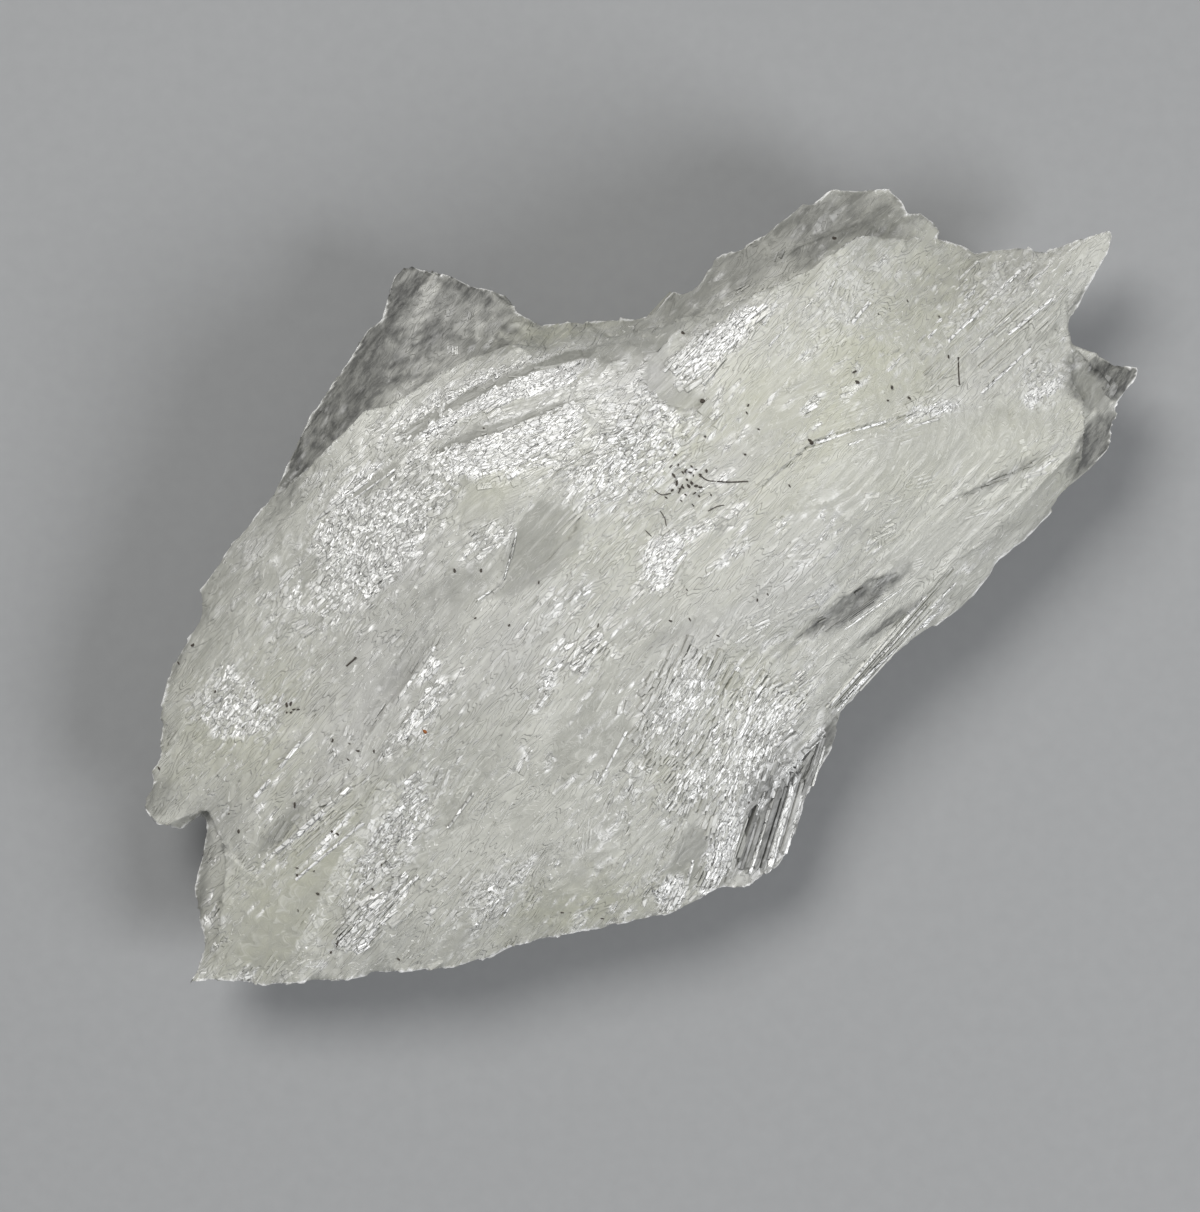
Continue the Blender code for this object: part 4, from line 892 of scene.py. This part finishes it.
def single_blades(name, ground):
    """The larger blades that stand out one by one, and those that lie side by side in fans."""
    rng = np.random.default_rng(5)
    rows = [(*blade, 1.0) for blade in BLADES]
    for first_foot, first_tip, last_foot, last_tip, count, widths, rises in FANS:
        for share in (np.arange(count) + rng.uniform(-0.3, 0.3, count)) / (count - 1):
            foot = np.array(first_foot) * (1 - share) + np.array(last_foot) * share
            tip = np.array(first_tip) * (1 - share) + np.array(last_tip) * share
            start, stop = rng.uniform(-0.05, 0.3), rng.uniform(0.7, 1.05)
            foot, tip = foot + (tip - foot) * start, foot + (tip - foot) * stop
            rows.append((*foot, *tip, rng.uniform(*widths), rng.uniform(*rises), 0.8 * rng.random() ** 2))
    table = np.array(rows)
    foot_z, foot_known = ground.at(table[:, 0], table[:, 1])
    tip_z, tip_known = ground.at(table[:, 2], table[:, 3])
    keep = foot_known & tip_known
    foot = np.stack([table[:, 0], table[:, 1], foot_z], axis=1)[keep]
    tip = np.stack([table[:, 2], table[:, 3], tip_z], axis=1)[keep]
    widths, rises, gleam = table[keep, 4:].T
    middle, axis, count = (foot + tip) / 2, unit(tip - foot), len(foot)
    looks = looks_at(middle, np.ones(count))
    looks["glint"] = gleam
    looks["clear"] = looks["clear"] * (gleam < 0.6)
    up = turned_bright(ground.up(middle[:, 0], middle[:, 1]), axis, gleam)
    shares, slants, leans = (rng.uniform(*ends, count) for ends in ((0.3, 0.7), (0.1, 0.3), (-0.3, 0.3)))
    # Gleaming blades are painted lighter, towards white: a painted highlight.
    tone = rng.uniform(0.5, 1.1, count) + 0.4 * (gleam > 0.9)
    depths = np.full(count, SINGLE_SUNK)
    return blade_piece(name, foot, tip, up, widths, rises, depths, shares, slants, leans, looks, tone)


def dust_piece(name, specks, ground):
    """Specks of dust: small lumps with uneven sides, lying on the ground."""
    rng = np.random.default_rng(9)
    bm = bmesh.new()
    for x, y, size in specks:
        made = bmesh.ops.create_icosphere(bm, subdivisions=2, radius=0.68 * size * MM)["verts"]
        turn = Matrix.Rotation(rng.uniform(0, math.tau), 4, "Z")
        shape = Matrix.Diagonal((rng.uniform(0.8, 1.6), rng.uniform(0.4, 0.8), 0.5, 1))
        place = ground.over(x, y, DUST_LIFT)
        for vert in made:
            vert.co = turn @ (shape @ (vert.co * rng.uniform(0.75, 1.25))) + place
    mesh = bpy.data.meshes.new(name)
    bm.to_mesh(mesh)
    bm.free()
    return new_piece(name, mesh)


def fibre_piece(name, ground):
    """Hairs and dark fibres on the front, as thin tubes."""
    curve = bpy.data.curves.new(name, "CURVE")
    curve.dimensions = "3D"
    curve.bevel_depth = 1.0
    curve.bevel_resolution = 1
    curve.resolution_u = 6
    curve.use_fill_caps = True
    for points, width in FIBRES:
        spline = curve.splines.new("BEZIER")
        spline.bezier_points.add(len(points) - 1)
        for knot, (x, y) in zip(spline.bezier_points, points):
            knot.co = ground.over(x, y, FIBRE_LIFT)
            knot.radius = 0.5 * width * MM
            knot.handle_left_type = knot.handle_right_type = "AUTO"
    source = new_piece(name, curve)
    mesh = evaluated_mesh(source)
    bpy.data.objects.remove(source)
    return new_piece(name, mesh)


class Nodes:
    """Short calls for building a material's node tree."""

    def __init__(self, name):
        self.material = bpy.data.materials.new(name)
        self.material.use_nodes = True
        self.tree = self.material.node_tree
        self.shader = self.tree.nodes["Principled BSDF"]
        self.place = self.add("ShaderNodeTexCoord").outputs["Object"]

    def add(self, kind, **settings):
        node = self.tree.nodes.new(kind)
        for key, value in settings.items():
            setattr(node, key, value)
        return node

    def link(self, source, target):
        if isinstance(source, (int, float)):
            target.default_value = source
        elif isinstance(source, tuple):
            target.default_value = source if target.type == "VECTOR" else (*source, 1)
        else:
            self.tree.links.new(source, target)

    def shade(self, **values):
        """Sets or links the shader's sockets, named in small letters with _ for a space."""
        for socket in self.shader.inputs:
            key = socket.name.lower().replace(" ", "_")
            if key in values:
                self.link(values[key], socket)

    def attribute(self, name, output="Fac"):
        return self.add("ShaderNodeAttribute", attribute_name=name).outputs[output]

    def maths(self, operation, a, b=0.0):
        node = self.add("ShaderNodeMath", operation=operation)
        self.link(a, node.inputs[0])
        self.link(b, node.inputs[1])
        return node.outputs[0]

    def times(self, a, b):
        return self.maths("MULTIPLY", a, b)

    def mix(self, share, a, b, data_type="RGBA"):
        node = self.add("ShaderNodeMix", data_type=data_type)
        for key, value in (("Factor", share), ("A", a), ("B", b)):
            self.link(value, node.inputs[key])
        return node.outputs["Result"]

    def span(self, value, low, high, to_low=0.0, to_high=1.0):
        node = self.add("ShaderNodeMapRange")
        self.link(value, node.inputs["Value"])
        for key, number in (("From Min", low), ("From Max", high), ("To Min", to_low), ("To Max", to_high)):
            node.inputs[key].default_value = number
        return node.outputs["Result"]

    def scaled(self, vector, scale):
        node = self.add("ShaderNodeMapping")
        self.link(vector, node.inputs["Vector"])
        node.inputs["Scale"].default_value = scale
        return node.outputs["Vector"]

    def turned(self, vector, heading, sizes):
        """A vector in units of sizes, in mm, the first of them along the heading in degrees."""
        node = self.add("ShaderNodeMapping", vector_type="TEXTURE")
        self.link(vector, node.inputs["Vector"])
        node.inputs["Rotation"].default_value = (0, 0, math.radians(heading))
        node.inputs["Scale"].default_value = [size * MM for size in sizes]
        return node.outputs["Vector"]

    def noise(self, vector, scale, detail=2.0, rough=0.5, dimensions="3D"):
        node = self.add("ShaderNodeTexNoise", noise_dimensions=dimensions)
        self.link(vector, node.inputs["Vector"])
        for key, value in (("Scale", scale), ("Detail", detail), ("Roughness", rough)):
            node.inputs[key].default_value = value
        return node.outputs["Fac"]

    def vectors(self, operation, a, b, socket=1):
        node = self.add("ShaderNodeVectorMath", operation=operation)
        self.link(a, node.inputs[0])
        self.link(b, node.inputs[socket])
        return node.outputs[0]

    def cells(self, vector, feature, output):
        node = self.add("ShaderNodeTexVoronoi", voronoi_dimensions="2D", feature=feature)
        self.link(vector, node.inputs["Vector"])
        node.inputs["Scale"].default_value = 1.0
        return node.outputs[output]

    def tilted(self, cells, spread, aim, share, normal):
        """The normal, turned towards aim by share, and tilted at random by spread, alike over each cell."""
        loose = self.vectors("SUBTRACT", cells, (0.5, 0.5, 0.5))
        loose = self.vectors("SCALE", loose, spread, "Scale")
        kept = self.vectors("SCALE", normal, self.maths("SUBTRACT", 1.0, share), "Scale")
        aimed = self.vectors("ADD", kept, self.vectors("SCALE", aim, share, "Scale"))
        return self.vectors("NORMALIZE", self.vectors("ADD", aimed, loose), (0.0, 0.0, 0.0))

    def bump(self, height, strength, distance, normal=None):
        """A bump of a height in mm."""
        node = self.add("ShaderNodeBump")
        self.link(height, node.inputs["Height"])
        self.link(strength, node.inputs["Strength"])
        node.inputs["Distance"].default_value = distance * MM
        if normal is not None:
            self.link(normal, node.inputs["Normal"])
        return node.outputs["Normal"]


# The crystal's own colours, its tints, and what steps, glints, cracks and clear parts turn it to. Painted
# highlight lies on the steps' lips and in the glints; painted shade at the steps' feet, partly along the
# cracks, and at the ledges' feet; and the clear parts get a painted dark.
GREYEST, PALE, PAINTED_HIGHLIGHT_WHITE = (0.36, 0.36, 0.32), (0.63, 0.63, 0.572), (0.92, 0.92, 0.90)
CREAMY, LILAC_GREY = (0.487, 0.487, 0.39), (0.51, 0.505, 0.495)
CLOUDED, SILVERY = (0.42, 0.42, 0.38), (0.74, 0.74, 0.69)
STEP_LIP_HIGHLIGHT, STEP_FOOT_SHADE, PAINTED_CREASE_SHADE = (0.88, 0.88, 0.84), (0.30, 0.30, 0.27), (0.15, 0.15, 0.14)
GLASSY, FROST_AND_PAINTED_GLINT, CRACK_AND_EDGE_SHADE = (0.60, 0.60, 0.585), (0.92, 0.92, 0.905), (0.24, 0.24, 0.225)
CLEAR_DARK = (0.045, 0.046, 0.043)      # painted dark and shade, seen through the clear parts
CRYSTAL_IOR = 1.53
CLEAR_THROUGH = 0.4      # the share of light that the clearest parts let through
GLASSY_ROUGH, CLEAR_ROUGH = 0.2, 0.66
CLEAVAGE_STEPS = 12.0    # how many levels the cleavage steps climb over the whole range of their noise


def probertite_material(name, subsurface, share, spread):
    """Silvery white crystal: satiny fibres, cleavage steps, glassy glints and darker clear parts.

    In the glinting patches the surface is broken into small planes. share is how far they turn towards
    BRIGHT, and spread is how unevenly they lie.
    """
    n = Nodes(name)
    grain, glint, tone = n.attribute("grain", "Vector"), n.attribute("glint"), n.attribute("tone")
    wisps = n.noise(n.turned(n.place, VEIN_HEADING, (1.3, 0.4, 1.0)), 1.0, 5.0, 0.8, "2D")
    clear = n.times(n.attribute("clear"), n.span(wisps, 0.42, 0.62, 1.0, 0.66))
    streaks = n.noise(n.scaled(grain, (0.22, 1.9, 1.9)), 1.0, 3.0, 0.6, "2D")
    clouds = n.noise(n.place, 260.0, 1.0, 0.55)
    steps = n.times(n.noise(n.turned(n.place, GRAIN, (4.6, 1.0, 1.0)), 1.0, 2.0, 0.5, "2D"), CLEAVAGE_STEPS)
    within_step = n.maths("FRACT", steps)
    climb = n.span(within_step, 0.84, 1.0)
    covered = n.maths("MAXIMUM", n.times(clear, 0.8), n.times(n.attribute("smooth_skin"), 0.8))
    bare = n.maths("SUBTRACT", 1.0, covered)
    planes = n.scaled(grain, (1.3, 3.2, 3.2))
    plane, plane_edge = n.cells(planes, "F1", "Color"), n.cells(planes, "DISTANCE_TO_EDGE", "Distance")
    colour = n.mix(tone, GREYEST, PALE)
    for amount, tint in (
        (n.times(n.attribute("cream"), 0.88), CREAMY),
        (n.times(n.attribute("lilac"), 0.7), LILAC_GREY),
        (n.span(clouds, 0.4, 0.72, 0.0, 0.55), CLOUDED),
        (n.span(streaks, 0.55, 0.75, 0.0, 0.4), SILVERY),
        # painted highlight on each cleavage step's lip, and painted shade at its foot
        (n.times(n.times(climb, n.span(clouds, 0.35, 0.6)), bare), STEP_LIP_HIGHLIGHT),
        (n.times(n.span(within_step, 0.0, 0.14, 0.45, 0.0), bare), STEP_FOOT_SHADE),
        (n.times(glint, 0.4), GLASSY),
        # tone past 1 turns white: a painted highlight
        (n.span(tone, 1.0, 1.5), PAINTED_HIGHLIGHT_WHITE),
        (n.times(clear, n.span(streaks, 0.3, 0.7, 1.0, 0.86)), CLEAR_DARK),
        # Glinting planes: white cells, partly frost and partly a painted glint; dark edges, partly cracks and
        # partly painted shade.
        (n.times(glint, n.span(plane, 0.44, 0.62, 0.0, 0.8)), FROST_AND_PAINTED_GLINT),
        (n.times(glint, n.span(plane_edge, 0.03, 0.14, 0.85, 0.0)), CRACK_AND_EDGE_SHADE),
        # painted shade at the ledges' feet
        (n.attribute("crease"), PAINTED_CREASE_SHADE),
    ):
        colour = n.mix(amount, colour, tint)
    gloss = n.mix(glint, n.span(streaks, 0.3, 0.7, 0.34, 0.54), GLASSY_ROUGH, "FLOAT")
    fibres = n.noise(n.scaled(grain, (0.6, 7.0, 7.0)), 1.0, 2.0, 0.6, "2D")
    flat = n.add("ShaderNodeNewGeometry").outputs["Normal"]
    aim = n.attribute("aim", "Vector")
    facet = n.tilted(plane, n.times(glint, spread), aim, n.times(glint, share), flat)
    fibrous = n.bump(fibres, n.span(clear, 0.0, 1.0, 0.28, 0.07), 0.2, facet)
    cleaved = n.maths("ADD", n.maths("SUBTRACT", steps, within_step), climb)
    n.shade(
        base_color=colour, roughness=n.mix(clear, gloss, CLEAR_ROUGH, "FLOAT"), ior=CRYSTAL_IOR,
        specular_ior_level=0.85, transmission_weight=n.times(clear, CLEAR_THROUGH),
        subsurface_weight=subsurface, subsurface_radius=(1.0, 1.0, 0.9), subsurface_scale=0.0006,
        normal=n.bump(cleaved, n.times(bare, 0.85), 0.1, fibrous))
    return n.material


def speckled_material(name, scale, detail, dark, light, rough, bump=(0.0, 0.0)):
    """Something dull and uneven. rough is its roughness, or its ends, and bump is how strong and deep."""
    n = Nodes(name)
    grime = n.noise(n.place, scale, detail)
    n.shade(base_color=n.mix(grime, dark, light),
            roughness=n.span(grime, 0.3, 0.7, *rough) if isinstance(rough, tuple) else rough)
    if bump[0]:
        n.shade(normal=n.bump(grime, *bump))
    return n.material


def dust_material():
    colours = (0.02, 0.016, 0.012), (0.09, 0.075, 0.06)
    return speckled_material("dust", 9000.0, 2.0, *colours, rough=(0.6, 0.9), bump=(0.4, 0.03))


def rust_material():
    colours = (0.16, 0.04, 0.01), (0.42, 0.16, 0.04)
    return speckled_material("rust_speck", 9000.0, 2.0, *colours, rough=(0.5, 0.8))


def floor_material():
    colours = (0.30, 0.305, 0.31), (0.33, 0.335, 0.34)
    return speckled_material("floor_card", 900.0, 3.0, *colours, rough=0.8, bump=(0.1, 0.1))


FLOOR_REACH, FLOOR_GAP = 1.5, 0.00002   # m, how far the floor reaches, and how far it lies under the crystal


def make_floor():
    bm = bmesh.new()
    bmesh.ops.create_grid(bm, x_segments=1, y_segments=1, size=FLOOR_REACH)
    mesh = bpy.data.meshes.new("floor")
    bm.to_mesh(mesh)
    bm.free()
    floor = new_piece("floor", mesh)
    floor.location.z = cad_box[0].z - FLOOR_GAP
    floor.data.materials.append(floor_material())


def make_lamp(name, place, size, power, colour):
    """A round, soft lamp that points at the specimen. place and size are in metres."""
    light = bpy.data.lights.new(name, "AREA")
    light.shape = "DISK"
    light.size = size
    light.energy = power
    light.color = colour
    lamp = new_piece(name, light)
    lamp.location = place
    lamp.rotation_euler = (Vector((0, 0, 0.01)) - Vector(place)).to_track_quat("-Z", "Y").to_euler()


def make_world(strength):
    world = bpy.data.worlds.new("studio")
    world.use_nodes = True
    back = world.node_tree.nodes["Background"]
    back.inputs["Color"].default_value = (0.93, 0.96, 1.0, 1)
    back.inputs["Strength"].default_value = strength
    bpy.context.scene.world = world


# The camera, in metres: how wide the view is at the height that it is framed for, and that place.
VIEW_WIDTH, VIEW_X, VIEW_Y, VIEW_Z = 0.08484, -0.00287, -0.00119, 0.008


def make_camera():
    """Straight down on the front."""
    camera = bpy.data.cameras.new("camera")
    camera.lens = 120
    camera.sensor_width = 36
    camera.clip_start = 0.01
    camera.clip_end = 10
    placed = new_piece("camera", camera)
    placed.location = (VIEW_X, VIEW_Y, VIEW_Z + VIEW_WIDTH * camera.lens / camera.sensor_width)
    bpy.context.scene.camera = placed


def settle(piece, material):
    """Gives a piece its material, and makes it part of the specimen."""
    piece.data.materials.clear()
    piece.data.materials.append(material)
    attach(piece, "root")
    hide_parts("probertite")
    piece.data.calc_loop_triangles()
    print(piece.name, "triangles", len(piece.data.loop_triangles))


bpy.context.scene.view_settings.view_transform = "Standard"
crystal = probertite_material("probertite_crystal", subsurface=0.06, share=0.8, spread=0.5)
blades = probertite_material("probertite_blades", subsurface=0.0, share=0.5, spread=0.34)
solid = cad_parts["probertite"]
mass = grain_mesh(solid, "probertite_mass")
settle_face(mass.data)
halve_cells(mass.data)
points, normals = dress_mass(mass, solid.data)
front, back = Ground(points, normals, 1), Ground(points, normals, -1)
looks = looks_at(points, np.ones(len(points)))
(along, across, _), _, _ = sheaf_coordinates(*points.T)
tufts = 0.05 + 2.5 * np.clip(shade_noise(along / 5, across / 1.6, 71) - 0.45, 0, 1)
open_ground = (1 - 0.97 * looks["smooth_skin"]) * (1 - 0.95 * looks["clear"])
tufts *= open_ground * (1 - np.clip(2 * looks["flange"], 0, 1))
seen = np.clip((normals[:, 2] - 0.62) * 4, 0, 1)
barred = patch_mask(*points.T[:2], BARS)
hidden = np.clip((-normals[:, 2] - 0.2) * 3, 0, 1) * (points[:, 2] > 0.4)
thin_back(mass, normals)
settle(mass, crystal)
settle(scatter_blades(
    "blades_front", front, points, seen * tufts, count=1150, seed=1, bundle=(1, 4), length=(0.5, 3.0),
    width=(0.10, 0.34), rise=(0.01, 0.035), tilt=12, turn=8, pitch=1.5, shine=(0.8, 2.0),
    flat=(0.3, 0.8)), blades)
settle(scatter_blades(
    "chips_front", front, points, seen * looks["glint"] * (1 - barred), count=2000, seed=2, bundle=(1, 3),
    length=(0.3, 1.7), width=(0.10, 0.50), rise=(0.02, 0.07), tilt=8, turn=12, pitch=4, shine=(1.0, 1.2),
    flat=(0.6, 1.0)), blades)
settle(scatter_blades(
    "bars_front", front, points, seen * barred, count=360, seed=4, bundle=(3, 7), length=(0.8, 2.6),
    width=(0.20, 0.42), rise=(0.08, 0.22), tilt=13, turn=8, pitch=2, shine=(1.0, 1.5),
    flat=(0.5, 0.9)), blades)
settle(scatter_blades(
    "blades_back", back, points, hidden, count=2800, seed=3, bundle=(1, 6), length=(0.6, 5.0),
    width=(0.15, 0.45), rise=(0.02, 0.08), tilt=10, turn=5, pitch=1.5, shine=(0.7, 2.0),
    flat=(0.1, 0.8)), blades)
settle(single_blades("blades_single", front), blades)
dust = dust_material()
settle(dust_piece("dust_specks", SPECKS, front), dust)
settle(dust_piece("rust_speck", [RUST_SPECK], front), rust_material())
settle(fibre_piece("dust_fibres", front), dust)
make_floor()
make_world(strength=0.16)
make_lamp("key", place=(-0.20, 0.24, 0.50), size=0.30, power=2.36, colour=(1.0, 0.99, 0.97))
make_lamp("side", place=(0.36, -0.20, 0.36), size=0.28, power=1.95, colour=(0.98, 0.985, 1.0))
make_camera()
